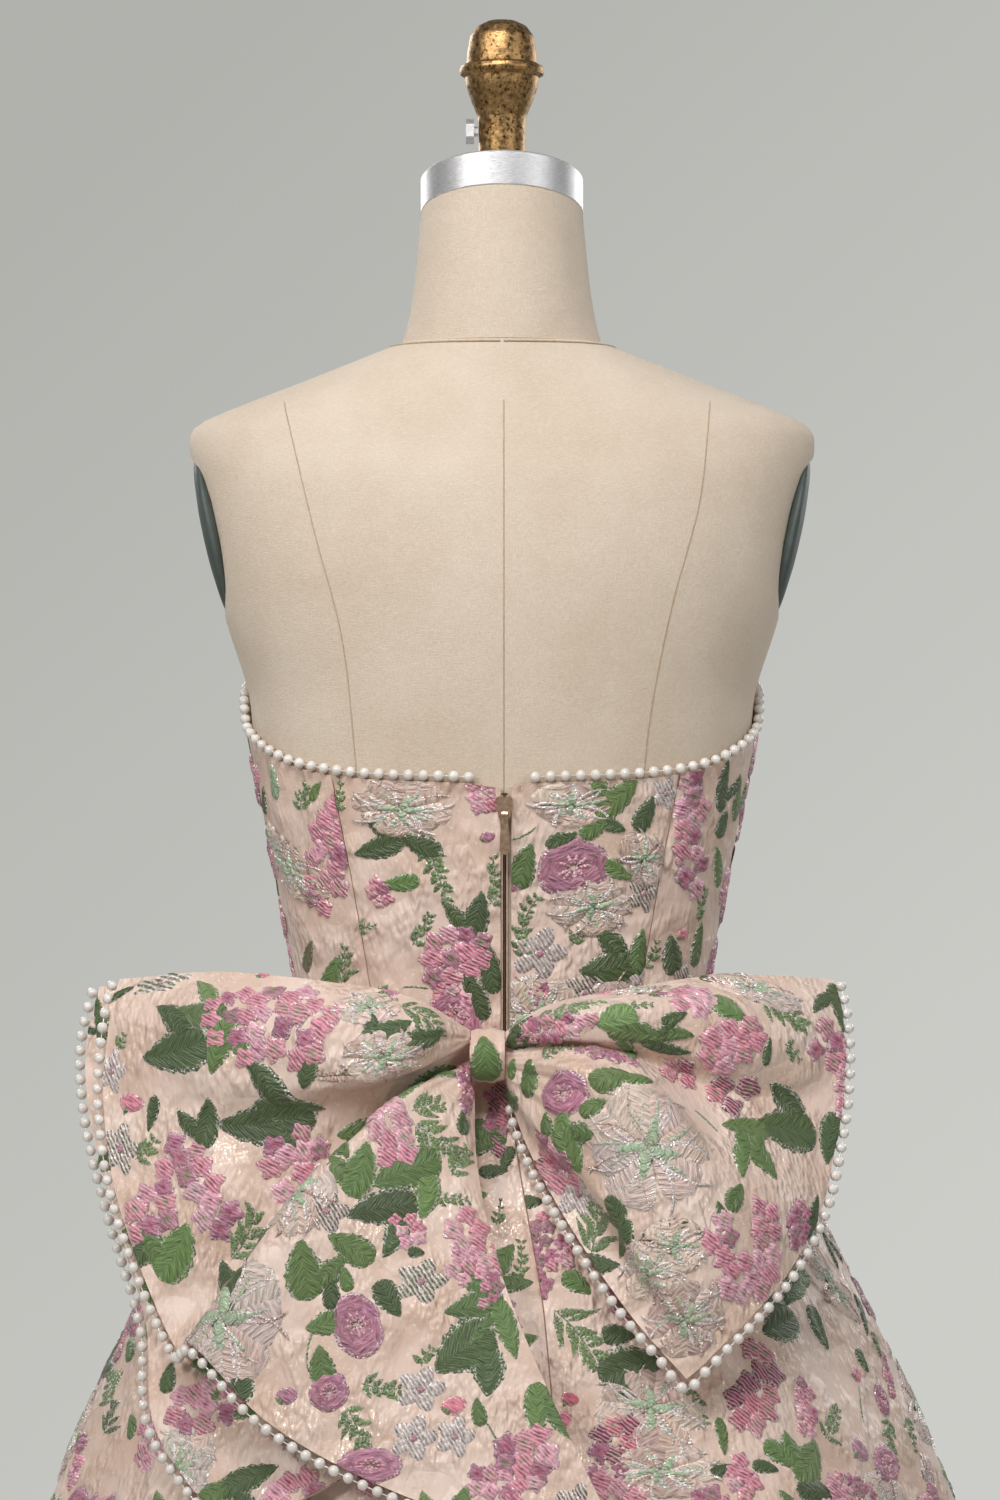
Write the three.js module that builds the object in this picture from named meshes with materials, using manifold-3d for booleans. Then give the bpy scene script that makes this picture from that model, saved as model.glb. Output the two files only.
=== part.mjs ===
// Strapless homecoming dress with a large back bow, on a limbless dress form.
// Millimetres, Z up, floor at z = 0. The back of the dress faces -Y and its front faces +Y.
import * as THREE from "three";
import { mergeVertices } from "three/addons/utils/BufferGeometryUtils.js";
import Module from "manifold-3d";

const wasm = await Module();
wasm.setup();

// Cloth
const CLOTH = 1.8;
const GAP = 0.3;
const EASE = 1.3;
const WAIST_Z = 1040;
const HEM_Z = 575;

// Form: half-width, depth behind and depth in front at each height
const FORM = table(["z", "half", "back", "front"], [
  [800, 158, 110, 106],
  [860, 166, 116, 106],
  [930, 158, 108, 100],
  [980, 141, 96, 94],
  [1040, 118.3, 84, 84],
  [1074, 123.5, 83, 87],
  [1108, 129.8, 84, 96],
  [1139, 135.6, 87, 108],
  [1170, 142, 90, 120],
  [1219, 151.5, 94, 131],
  [1246, 154.5, 96, 131],
  [1289, 168, 98, 122],
  [1327, 177, 97, 108],
  [1373, 186, 89, 92],
  [1395, 190.5, 79, 80],
  [1408, 186, 73, 73],
  [1420, 160, 67, 66],
  [1433, 126, 61, 60],
  [1446, 93, 56, 56],
  [1457, 65, 53, 54],
]);
const FORM_SQUARE = 0.03;
const FORM_AROUND = 40;
// More rings under the bodice, between the rows above
const FORM_EXTRA = [1057, 1090, 1155, 1195, 1207, 1232];
const BUST = { angle: 147, spread: 24, z: 1212, rise: 56, height: 6.5 };

// Neck, its plate and the cap above it
const NECK = table(["z", "half", "back", "front"], [
  [1457.3, 61, 53, 53],
  [1470, 57.5, 52.4, 52.4],
  [1490, 54, 51.4, 51.4],
  [1515, 51.3, 50.4, 50.4],
  [1537, 49.3, 49.3, 49.3],
]);
const NECK_AROUND = 30;
const NECK_TILT = 0.25;
const PLATE = { radius: 49.5, height: 21, edge: 1 };
const CAP = table(["z", "radius"], [
  [1560.6, 14.2],
  [1590, 14.2],
  [1597, 14.8],
  [1606, 18.6],
  [1615, 21.8],
  [1621, 22.6],
  [1622.6, 25.4],
  [1625, 26],
  [1627.4, 25.2],
  [1629, 21.6],
  [1636, 21.2],
  [1646, 19.4],
  [1652, 15],
  [1655.4, 8],
  [1656, 2],
]);
const CAP_AROUND = 22;
const SCREW = { z: 1588, shank: 3, head: 7.7, start: 14.6, neck: 17, end: 22, sides: 6 };

// Oval plates that close the armholes, and the stand
const ARM = { x: 176, y: 2, z: 1340, tall: 51, deep: 40, thick: 10, lean: 12.5, shaft: 14, around: 24 };
const ARM_PROFILE = table(["out", "size"], [
  [-1, 0.9],
  [-0.5, 1],
  [0.1, 0.98],
  [0.6, 0.8],
  [1, 0.42],
]);
const POLE = { radius: 16, around: 20 };
const BASE = table(["z", "radius"], [
  [0, 206],
  [3, 210],
  [9, 210],
  [14, 204],
  [19, 60],
  [23, 26],
  [32, 22],
]);
const BASE_AROUND = 32;

// Top edge of the bodice, by the angle from the centre back
const NECKLINE = table(["angle", "z"], [
  [0, 1188.2],
  [3, 1189.2],
  [6, 1191],
  [34, 1194],
  [51, 1199.5],
  [62, 1206.5],
  [74, 1215.5],
  [83, 1223],
  [90, 1234],
  [98, 1244],
  [120, 1253],
  [148, 1259],
  [166, 1248],
  [180, 1234],
]);

// Seams of the bodice: angle from the centre back at the top edge and at the waist
const SEAMS = {
  backLeft: { top: -41, waist: -36.5 },
  backRight: { top: 43, waist: 39 },
  sideLeft: { top: -91, waist: -90 },
  sideRight: { top: 91, waist: 90 },
  frontLeft: { top: -147, waist: -155 },
  frontRight: { top: 147, waist: 155 },
};
const BODICE_ROWS = 9;
const BODICE_COLUMNS = { back: 6, sideBack: 5, sideFront: 7, front: 10 };

// Skirt: outer half-width and depths
const SKIRT = table(["z", "half", "back", "front"], [
  [1040, 122.2, 88.2, 88.2],
  [1000, 147, 111, 109],
  [960, 172, 135, 132],
  [920, 196, 160, 156],
  [870, 223, 183, 180],
  [820, 246, 205, 203],
  [754, 273, 231, 230],
  [700, 297, 254, 252],
  [640, 323, 278, 276],
  [575, 350, 303, 302],
]);
// Soft folds of the skirt: angle, half-width in degrees, height at the hem, start height
const FOLDS = table(["angle", "spread", "height", "start"], [
  [34, 10, 21, 1000],
  [14.5, 6.5, -15, 1010],
  [-4, 7, 9, 1020],
  [-22, 7, -9, 1010],
  [-38, 10, 15, 1000],
  [-59, 9, -10, 990],
  [-77, 9, 9, 990],
  [60, 9, -10, 990],
  [80, 9, 9, 980],
  [104, 10, -12, 1000],
  [125, 11, 15, 1010],
  [148, 9, -12, 1000],
  [168, 10, 13, 1010],
  [-171, 8, -10, 1000],
  [-151, 10, 15, 1000],
  [-128, 10, -12, 1010],
  [-104, 10, 8, 1000],
]);
const FOLD_POWER = 1.35;
const SKIRT_ROWS = 9;
// Columns of each skirt panel, and how they crowd towards its first edge
const SKIRT_COLUMNS = { back: 16, front: 26 };
const SKIRT_CROWD = { left: 0.9, right: 1.1, front: 1 };
const SKIRT_SIDE = 92;
// The centre back seam drifts to the right on its way down
const BACK_SEAM = table(["z", "angle"], [
  [1040, 0.8],
  [984, 2.8],
  [925, 5.4],
  [887, 6.5],
  [754, 7.4],
  [575, 8],
]);

// Bow: each line runs from the knot out to the free edge, as x, y, z.
// The lines of a wing go from its top edge to its inner edge, over its folds.
const LEFT_FRONT = [
  [[-18.7, -122, 1048], [-51, -130, 1067], [-94, -120, 1075], [-163, -102, 1081], [-230, -80, 1075]],
  [[-18.7, -127, 1045], [-47, -150, 1052], [-90, -152, 1055], [-158, -130, 1059], [-235, -90, 1057]],
  [[-18.9, -127, 1041], [-52, -151, 1029], [-94, -155, 1020], [-156, -134, 1020], [-238, -96, 1030]],
  [[-18.9, -121, 1037], [-54, -136, 1020], [-99, -142, 1007], [-163, -126, 996], [-238, -99, 1002]],
  [[-18.9, -119, 1034], [-54, -131, 1013], [-104, -139, 982], [-164, -136, 957], [-227, -116, 946]],
  [[-18.7, -119, 1030], [-48, -132, 1010], [-94, -143, 970], [-143, -150, 914], [-189, -154, 863]],
  [[-18.7, -126, 1027], [-50, -152, 1015], [-94, -176, 980], [-138, -190, 929], [-177, -186, 870]],
  [[-18.9, -128, 1022], [-40, -158, 993], [-73, -186, 945], [-105, -203, 890], [-135, -212, 832]],
  [[-18.7, -127, 1016], [-24, -159, 982], [-40, -191, 923], [-50, -212, 862], [-64, -232, 796]],
  [[-16, -125, 1011], [-14, -154, 971], [-1, -186, 916], [28, -220, 848], [76, -256, 754]],
];
const RIGHT_FRONT = [
  [[1.9, -122, 1047], [25, -129, 1062], [64, -121, 1071], [132, -103, 1079], [200, -80, 1075]],
  [[1.9, -127, 1044], [31, -148, 1057], [73, -154, 1062], [137, -134, 1060], [204, -92, 1053]],
  [[1.9, -127, 1040], [33, -148, 1046], [71, -152, 1043], [139, -138, 1031], [205, -98, 1028]],
  [[1.9, -124, 1037], [35, -142, 1042], [76, -144, 1036], [133, -134, 1012], [203, -104, 1003]],
  [[1.9, -126, 1033], [36, -152, 1037], [75, -162, 1030], [123, -158, 994], [199, -114, 979]],
  [[1.9, -130, 1029], [37, -162, 1028], [84, -180, 1009], [132, -178, 964], [189, -134, 947]],
  [[1.9, -129, 1025], [34, -162, 1015], [78, -188, 983], [124, -192, 936], [169, -160, 914]],
  [[2, -127, 1020], [26, -156, 1004], [67, -184, 965], [109, -200, 913], [145, -184, 890]],
  [[2.4, -123, 1016], [18, -148, 993], [50, -174, 963], [92, -198, 906], [124, -196, 871]],
  [[3, -117, 1012], [19, -136, 988], [51, -160, 952], [86, -188, 898], [114, -198, 861]],
  [[4, -115, 1008], [14, -134, 976], [37, -162, 929], [69, -186, 887], [103, -198, 852]],
];
const LEFT_BACK = [
  [[-19, -108, 1044], [-52, -106, 1061], [-95, -94, 1069], [-167, -74, 1074], [-245, -52, 1069]],
  [[-19, -107, 1039], [-57, -112, 1042], [-107, -106, 1042], [-178, -86, 1042], [-252, -60, 1034]],
  [[-20, -107, 1034], [-57, -118, 1020], [-115, -118, 1005], [-182, -100, 996], [-248, -74, 994]],
  [[-20, -107, 1029], [-55, -124, 994], [-113, -132, 956], [-174, -122, 941], [-230, -100, 934]],
  [[-20, -109, 1025], [-46, -136, 973], [-96, -154, 915], [-153, -148, 889], [-210, -126, 876]],
  [[-20, -111, 1021], [-35, -146, 960], [-73, -178, 887], [-135, -180, 834], [-204, -154, 823]],
  [[-19.5, -112, 1017], [-22, -150, 952], [-40, -192, 872], [-93, -210, 802], [-162, -196, 771]],
];
const RIGHT_BACK = [
  [[2, -108, 1044], [34, -106, 1059], [81, -94, 1066], [139, -76, 1071], [196, -56, 1064]],
  [[2, -107, 1039], [40, -112, 1042], [90, -106, 1042], [143, -88, 1041], [200, -64, 1032]],
  [[2, -107, 1034], [42, -118, 1022], [94, -118, 1009], [144, -102, 1000], [195, -80, 992]],
  [[2, -107, 1029], [39, -126, 1005], [86, -134, 976], [131, -128, 958], [175, -108, 944]],
  [[2, -109, 1025], [32, -134, 992], [69, -150, 949], [109, -150, 923], [144, -138, 907]],
  [[3, -108, 1022], [25, -131, 985], [52, -150, 937], [79, -166, 902], [106, -177, 878]],
];
// Shares of a wing that the pearls on its outer and inner edges take up
const END_TRIM = 0.015;
const SIDE_TRIM = 0.025;
const WING_ROWS = 9;
const FRONT_STEPS = 2;
const BACK_STEPS = 2;
const KNOT = { x: -8.3, y: -118.5, z: 1033, half: 9.8, deep: 17, tall: 14.3, wall: 2.2, puff: 1.5 };
const KNOT_AROUND = 24;
const KNOT_ACROSS = 4;

// Strands of pearls along the free edges
const PEARL = { radius: 3.3, sides: 5, step: 14, spin: 0.3 };
const NECKLINE_OPEN = 9.4;
// Places along each strand
const STRAND_STEPS = { neckline: 60, leftFront: 18, rightOuter: 20, rightInner: 12, back: 12 };

// Zip down the centre back
const ZIP = { x: 1.5, half: 1.8, depth: 1.2, sink: 0.5, top: 1185.5, rows: 8 };
const SLIDER = { z: 1177, topHalf: 4.6, lowHalf: 3.4, tall: 13.4, thick: 3, lift: 0.4, corner: 1 };
const LUG = { inner: 2.1, wide: 1, tall: 3.4, out: 3, sunk: 1, z: -3.2 };
const PULL = { barrel: 1.1, half: 1.8, length: 24, top: 1.7, low: 3.1, thick: 1.3, round: 8, tipSteps: 6 };

const MATERIALS = {
  brocade: { color: 0xd8b9a8, roughness: 0.55, metalness: 0 },
  pearl: { color: 0xf4efe8, roughness: 0.2, metalness: 0 },
  zip_metal: { color: 0xc9a08c, roughness: 0.35, metalness: 0.9 },
  zip_tape: { color: 0x8d7468, roughness: 0.7, metalness: 0 },
  linen: { color: 0xd9c6b0, roughness: 0.85, metalness: 0 },
  arm_cover: { color: 0x55605c, roughness: 0.6, metalness: 0.1 },
  steel: { color: 0xb9bcc0, roughness: 0.3, metalness: 1 },
  bronze: { color: 0x7a5a34, roughness: 0.5, metalness: 0.8 },
  stand_metal: { color: 0x9a9da0, roughness: 0.4, metalness: 1 },
};

const RAD = Math.PI / 180;
const HALF_TURN = 180;
const QUARTER = 90;
const root = new THREE.Group();

// Rows of numbers as objects with named columns
function table(names, rows) {
  return rows.map((row) => Object.fromEntries(names.map((name, i) => [name, row[i]])));
}

// Smooth value of one column at a place along another
function along(rows, key, column, at) {
  const step = Math.sign(rows[rows.length - 1][key] - rows[0][key]);
  let i = 0;
  while (i < rows.length - 2 && (at - rows[i + 1][key]) * step > 0) i += 1;
  const slope = (j) => {
    const a = rows[Math.max(j - 1, 0)];
    const b = rows[Math.min(j + 1, rows.length - 1)];
    return (b[column] - a[column]) / (b[key] - a[key]);
  };
  const h = rows[i + 1][key] - rows[i][key];
  const t = Math.min(Math.max((at - rows[i][key]) / h, 0), 1);
  const a = rows[i][column];
  const b = rows[i + 1][column];
  const m = slope(i) * h;
  const n = slope(i + 1) * h;
  return a + t * (m + t * (3 * (b - a) - 2 * m - n + t * (2 * (a - b) + m + n)));
}

function mix(a, b, t) {
  return a + (b - a) * t;
}

function bell(distance, spread) {
  return Math.exp(-((distance / spread) ** 2));
}

// Signed difference of two angles in degrees
function turn(a, b) {
  return ((a - b + 5 * HALF_TURN) % (2 * HALF_TURN)) - HALF_TURN;
}

// A point of an upright oval section: angle 0 is the centre back, 90 the right side
function oval(rows, z, angle, out, square) {
  const s = Math.sin(angle * RAD);
  const c = Math.cos(angle * RAD);
  const half = along(rows, "z", "half", z) + out;
  const depth = along(rows, "z", c > 0 ? "back" : "front", z) + out;
  const wide = 1 + square * (2 * s * c) ** 2;
  return new THREE.Vector3(half * s * wide, -depth * c * wide, z);
}

// The form's surface, moved out by a distance
function body(z, angle, out) {
  const p = oval(FORM, z, angle, out, FORM_SQUARE);
  const side = bell(Math.abs(turn(angle, 0)) - BUST.angle, BUST.spread);
  p.y += BUST.height * side * bell(z - BUST.z, BUST.rise);
  return p;
}

function skirt(z, angle) {
  let out = 0;
  for (const fold of FOLDS) {
    const t = Math.max((fold.start - z) / (fold.start - HEM_Z), 0) ** FOLD_POWER;
    out += fold.height * t * bell(turn(angle, fold.angle), fold.spread);
  }
  return oval(SKIRT, z, angle, out, FORM_SQUARE);
}

function neckline(angle) {
  return along(NECKLINE, "angle", "z", Math.abs(turn(angle, 0)));
}

function geometryFrom(points, faces) {
  const g = new THREE.BufferGeometry();
  const flat = points.flatMap((p) => [p.x, p.y, p.z]);
  g.setAttribute("position", new THREE.Float32BufferAttribute(flat, 3));
  g.setIndex(faces.flat());
  return volume(points, faces) < 0 ? flipped(g) : g;
}

function volume(points, faces) {
  const cross = new THREE.Vector3();
  return faces.reduce((sum, [a, b, c]) => {
    return sum + points[a].dot(cross.crossVectors(points[b], points[c]));
  }, 0);
}

function flipped(g) {
  const at = g.index.array;
  for (let i = 0; i < at.length; i += 3) [at[i], at[i + 1]] = [at[i + 1], at[i]];
  return g;
}

function add(name, slot, geometry) {
  const material = new THREE.MeshStandardMaterial(MATERIALS[slot]);
  material.name = slot;
  const mesh = new THREE.Mesh(geometry, material);
  mesh.name = name;
  root.add(mesh);
  return mesh;
}

// A closed solid through rings of points, with a flat fan over each end
function loft(rings) {
  const n = rings[0].length;
  const points = rings.flat();
  const faces = [];
  for (let r = 0; r + 1 < rings.length; r += 1) {
    for (let i = 0; i < n; i += 1) {
      const a = r * n + i;
      const b = r * n + ((i + 1) % n);
      faces.push([a, b, b + n], [a, b + n, a + n]);
    }
  }
  for (const [r, way] of [[0, 1], [rings.length - 1, -1]]) {
    const middle = new THREE.Vector3();
    rings[r].forEach((p) => middle.addScaledVector(p, 1 / n));
    points.push(middle);
    for (let i = 0; i < n; i += 1) {
      const pair = [r * n + i, r * n + ((i + 1) % n)];
      faces.push(way > 0 ? [pair[1], pair[0], points.length - 1] : [...pair, points.length - 1]);
    }
  }
  return geometryFrom(points, faces);
}

function circle(count, place) {
  return Array.from({ length: count }, (unused, i) => place((i / count) * 2 * HALF_TURN));
}

function lathe(rows, around) {
  return loft(rows.map((row) => circle(around, (angle) => {
    const s = Math.sin(angle * RAD);
    const c = Math.cos(angle * RAD);
    return new THREE.Vector3(row.radius * s, -row.radius * c, row.z);
  })));
}

// A sheet of cloth: the outer face is the surface, the inner face lies one wall behind it
function sheet(surface, us, vs, wall) {
  const tiny = 1e-3;
  const columns = vs.length;
  const du = new THREE.Vector3();
  const dv = new THREE.Vector3();
  const outer = [];
  const inner = [];
  for (const u of us) {
    for (const v of vs) {
      const p = surface(u, v);
      du.subVectors(surface(Math.min(u + tiny, 1), v), surface(Math.max(u - tiny, 0), v));
      dv.subVectors(surface(u, Math.min(v + tiny, 1)), surface(u, Math.max(v - tiny, 0)));
      const n = du.cross(dv).normalize();
      outer.push(p);
      inner.push(p.clone().addScaledVector(n, -wall));
    }
  }
  const half = outer.length;
  const faces = [];
  const quad = (a, b, c, d) => faces.push([a, b, c], [a, c, d]);
  for (let i = 0; i + 1 < us.length; i += 1) {
    for (let j = 0; j + 1 < columns; j += 1) {
      const a = i * columns + j;
      quad(a, a + 1, a + columns + 1, a + columns);
      quad(half + a, half + a + columns, half + a + columns + 1, half + a + 1);
    }
  }
  const last = us.length - 1;
  for (let j = 0; j + 1 < columns; j += 1) {
    const a = last * columns + j;
    quad(j + 1, j, half + j, half + j + 1);
    quad(a, a + 1, half + a + 1, half + a);
  }
  for (let i = 0; i < last; i += 1) {
    const a = i * columns;
    const b = a + columns - 1;
    quad(a, a + columns, half + a + columns, half + a);
    quad(b + columns, b, half + b, half + b + columns);
  }
  return geometryFrom([...outer, ...inner], faces);
}

function steps(count) {
  return Array.from({ length: count + 1 }, (unused, i) => i / count);
}

// A round strand along a line of points
function strand(line) {
  const path = new THREE.CatmullRomCurve3(line, false, "centripetal");
  const count = Math.max(2, Math.round(path.getLength() / PEARL.step));
  const frames = path.computeFrenetFrames(count, false);
  return loft(steps(count).map((t, i) => {
    const p = path.getPointAt(t);
    return circle(PEARL.sides, (angle) => {
      const turned = angle * RAD + PEARL.spin;
      return p.clone()
        .addScaledVector(frames.normals[i], PEARL.radius * Math.cos(turned))
        .addScaledVector(frames.binormals[i], PEARL.radius * Math.sin(turned));
    });
  }));
}

function manifoldOf(geometry) {
  const g = mergeVertices(geometry.clone().deleteAttribute("normal").deleteAttribute("uv"));
  return new wasm.Manifold(new wasm.Mesh({
    numProp: 3,
    vertProperties: Float32Array.from(g.attributes.position.array),
    triVerts: Uint32Array.from(g.index.array),
  }));
}

function geometryOf(manifold) {
  const mesh = manifold.getMesh();
  const g = new THREE.BufferGeometry();
  g.setAttribute("position", new THREE.BufferAttribute(mesh.vertProperties, mesh.numProp));
  g.setIndex(new THREE.BufferAttribute(mesh.triVerts, 1));
  return g;
}

// Form: torso with a pocket for each arm plate, neck, neck plate and cap.
// A pocket runs on outwards at full size, so that no part of the torso covers its plate.
function armPlate(side, grow, shaft) {
  const place = new THREE.Matrix4().makeTranslation(side * ARM.x, ARM.y, ARM.z);
  place.multiply(new THREE.Matrix4().makeRotationY(side * ARM.lean * RAD));
  return loft(ARM_PROFILE.map((row) => circle(ARM.around, (angle) => {
    const s = Math.sin(angle * RAD);
    const c = Math.cos(angle * RAD);
    const open = shaft > 0 && row.out > 0;
    const size = open ? 1 : row.size;
    const out = side * ((row.out * ARM.thick) / 2 + Math.sign(row.out) * grow + (open ? row.out * shaft : 0));
    const point = new THREE.Vector3(out, (ARM.deep * size + grow) * s, (ARM.tall * size + grow) * c);
    return point.applyMatrix4(place);
  })));
}

const formHeights = [...FORM.map((row) => row.z), ...FORM_EXTRA].sort((a, b) => a - b);
const torso = loft(formHeights.map((z) => circle(FORM_AROUND, (angle) => body(z, angle, 0))));
const pockets = [-1, 1].map((side) => manifoldOf(armPlate(side, GAP, ARM.shaft)));
const pocketed = pockets.reduce((left, pocket) => left.subtract(pocket), manifoldOf(torso));
add("form_torso", "linen", geometryOf(pocketed));
add("arm_plate_left", "arm_cover", armPlate(-1, 0, 0));
add("arm_plate_right", "arm_cover", armPlate(1, 0, 0));

const neckTop = NECK[NECK.length - 1].z;
const neckRise = (p, share) => new THREE.Vector3(p.x, p.y, p.z - NECK_TILT * p.y * share);
add("form_neck", "linen", loft(NECK.map((row, i) => circle(NECK_AROUND, (angle) => {
  return neckRise(oval(NECK, row.z, angle, 0, 0), i / (NECK.length - 1));
}))));

const plateRows = table(["up", "radius"], [
  [GAP, PLATE.radius],
  [PLATE.height - PLATE.edge, PLATE.radius],
  [PLATE.height, PLATE.radius - PLATE.edge],
]);
add("neck_ring", "steel", loft(plateRows.map((row) => circle(NECK_AROUND, (angle) => {
  const p = new THREE.Vector3(row.radius * Math.sin(angle * RAD), -row.radius * Math.cos(angle * RAD), 0);
  p.z = neckTop + row.up;
  return neckRise(p, 1);
}))));

add("neck_cap", "bronze", loft(CAP.map((row, i) => circle(CAP_AROUND, (angle) => {
  const p = new THREE.Vector3(row.radius * Math.sin(angle * RAD), -row.radius * Math.cos(angle * RAD), row.z);
  if (i > 0) return p;
  p.z = neckTop + PLATE.height + GAP;
  return neckRise(p, 1);
}))));

const screwRows = table(["out", "radius"], [
  [SCREW.start, SCREW.shank],
  [SCREW.neck, SCREW.shank],
  [SCREW.neck, SCREW.head],
  [SCREW.end, SCREW.head],
]);
add("set_screw", "steel", loft(screwRows.map((row) => circle(SCREW.sides, (angle) => {
  const s = Math.sin(angle * RAD);
  const c = Math.cos(angle * RAD);
  return new THREE.Vector3(-row.out, row.radius * s, SCREW.z + row.radius * c);
}))));

// Stand
const baseTop = BASE[BASE.length - 1].z;
add("stand_base", "stand_metal", lathe(BASE, BASE_AROUND));
add("stand_pole", "stand_metal", lathe(table(["z", "radius"], [
  [baseTop + GAP, POLE.radius],
  [FORM[0].z - GAP, POLE.radius],
]), POLE.around));

// Bodice
function seamAngle(seam, t) {
  return mix(seam.waist, seam.top, t);
}

function bodicePoint(angle, t) {
  const z = mix(WAIST_Z + GAP / 2, neckline(angle), t);
  return body(z, angle, EASE + CLOTH);
}

function bodicePanel(name, from, to, columns) {
  const trim = (GAP / 2 / bodicePoint(from(0), 0).length()) / RAD;
  const reach = (angle, t) => {
    const p = bodicePoint(angle, t);
    return trim * (bodicePoint(from(0), 0).length() / Math.hypot(p.x, p.y));
  };
  const surface = (u, v) => {
    const a = from(v) + reach(from(v), v);
    const b = to(v) - reach(to(v), v);
    return bodicePoint(mix(a, b, u), v);
  };
  add(name, "brocade", sheet(surface, steps(columns), steps(BODICE_ROWS), CLOTH));
}

const zipEdge = (side) => (t) => {
  const z = mix(WAIST_Z, neckline(0), t);
  const depth = along(FORM, "z", "back", z) + EASE + CLOTH;
  return Math.atan2(ZIP.x + side * (ZIP.half + GAP / 2), depth) / RAD;
};
const seam = (name, lap = 0) => (t) => seamAngle(SEAMS[name], t) + lap;
const lap = 2 * HALF_TURN;
bodicePanel("bodice_back_left", seam("backLeft"), zipEdge(-1), BODICE_COLUMNS.back);
bodicePanel("bodice_back_right", zipEdge(1), seam("backRight"), BODICE_COLUMNS.back);
bodicePanel("bodice_side_back_left", seam("sideLeft"), seam("backLeft"), BODICE_COLUMNS.sideBack);
bodicePanel("bodice_side_back_right", seam("backRight"), seam("sideRight"), BODICE_COLUMNS.sideBack);
bodicePanel("bodice_side_front_left", seam("frontLeft"), seam("sideLeft"), BODICE_COLUMNS.sideFront);
bodicePanel("bodice_side_front_right", seam("sideRight"), seam("frontRight"), BODICE_COLUMNS.sideFront);
bodicePanel("bodice_front", seam("frontRight"), seam("frontLeft", lap), BODICE_COLUMNS.front);

// Skirt
function backSeam(z) {
  return along(BACK_SEAM, "z", "angle", z);
}

function skirtPanel(name, from, to, columns, crowd) {
  const surface = (u, v) => {
    const z = mix(HEM_Z, WAIST_Z - GAP / 2, v);
    const half = along(SKIRT, "z", "half", z);
    const trim = GAP / 2 / half / RAD;
    return skirt(z, mix(from(z) + trim, to(z) - trim, u));
  };
  const us = steps(columns).map((t) => t ** crowd);
  add(name, "brocade", sheet(surface, us, steps(SKIRT_ROWS), CLOTH));
}

skirtPanel("skirt_back_left", () => -SKIRT_SIDE, backSeam, SKIRT_COLUMNS.back, SKIRT_CROWD.left);
skirtPanel("skirt_back_right", backSeam, () => SKIRT_SIDE, SKIRT_COLUMNS.back, SKIRT_CROWD.right);
skirtPanel("skirt_front", () => SKIRT_SIDE, () => lap - SKIRT_SIDE, SKIRT_COLUMNS.front, SKIRT_CROWD.front);

// Bow wings, each through its own lines, stopping short of the pearls on its free edges
function wingSurface(lines, sideTrim) {
  const curves = lines.map((line) => curve(line.map(([x, y, z]) => new THREE.Vector3(x, y, z))));
  return (u, v) => {
    const across = curve(curves.map((c) => c.getPoint(u * (1 - END_TRIM))));
    return across.getPoint(v * (1 - sideTrim));
  };
}

function curve(points) {
  return new THREE.CatmullRomCurve3(points, false, "centripetal");
}

function wing(name, lines, perLine, side, sideTrim = 0) {
  const surface = wingSurface(lines, sideTrim);
  const vs = steps((lines.length - 1) * perLine);
  const geometry = sheet(surface, steps(WING_ROWS), vs, -side * CLOTH);
  add(name, "brocade", geometry);
  return surface;
}

// Points just outside a wing's free edge, square to the edge and in the plane of the cloth
function edgeLine(surface, place, inward, ts) {
  return ts.map((t) => {
    const p = surface(...place(t));
    const back = surface(...inward(...place(t))).sub(p);
    const tangent = surface(...place(Math.min(t + near, 1))).sub(surface(...place(Math.max(t - near, 0))));
    tangent.normalize();
    const away = back.addScaledVector(tangent, -back.dot(tangent)).normalize().negate();
    return p.addScaledVector(away, PEARL.radius + 2 * GAP);
  });
}

const near = 0.02;
const outerEdge = (surface, count) => edgeLine(
  surface, (t) => [1, t], (u, v) => [u - near, v], steps(count));
const innerEdge = (surface, count) => edgeLine(
  surface, (t) => [1 - t, 1], (u, v) => [u, v - near], steps(count));

const leftFront = wing("bow_left_front", LEFT_FRONT, FRONT_STEPS, -1);
const rightFront = wing("bow_right_front", RIGHT_FRONT, FRONT_STEPS, 1, SIDE_TRIM);
const leftBack = wing("bow_left_back", LEFT_BACK, BACK_STEPS, -1);
const rightBack = wing("bow_right_back", RIGHT_BACK, BACK_STEPS, 1);

function knot() {
  const across = steps(KNOT_ACROSS).map((t) => mix(-1, 1, t));
  const section = (turned) => {
    const s = Math.sin(turned * RAD);
    const c = Math.cos(turned * RAD);
    const at = (share, out) => new THREE.Vector3(
      KNOT.x + share * KNOT.half,
      KNOT.y - (KNOT.deep + out) * c,
      KNOT.z + (KNOT.tall + out) * s);
    const outer = across.map((share) => at(share, KNOT.puff * (1 - share * share)));
    const inner = across.map((share) => at(share, KNOT.puff * (1 - share * share) - KNOT.wall));
    return [...outer, ...inner.reverse()];
  };
  const rings = circle(KNOT_AROUND, section);
  const n = rings[0].length;
  const points = rings.flat();
  const faces = [];
  for (let r = 0; r < rings.length; r += 1) {
    for (let i = 0; i < n; i += 1) {
      const a = r * n + i;
      const b = r * n + ((i + 1) % n);
      const c = ((r + 1) % rings.length) * n + ((i + 1) % n);
      const d = ((r + 1) % rings.length) * n + i;
      faces.push([a, b, c], [a, c, d]);
    }
  }
  return geometryFrom(points, faces);
}
add("bow_knot", "brocade", knot());

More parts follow.
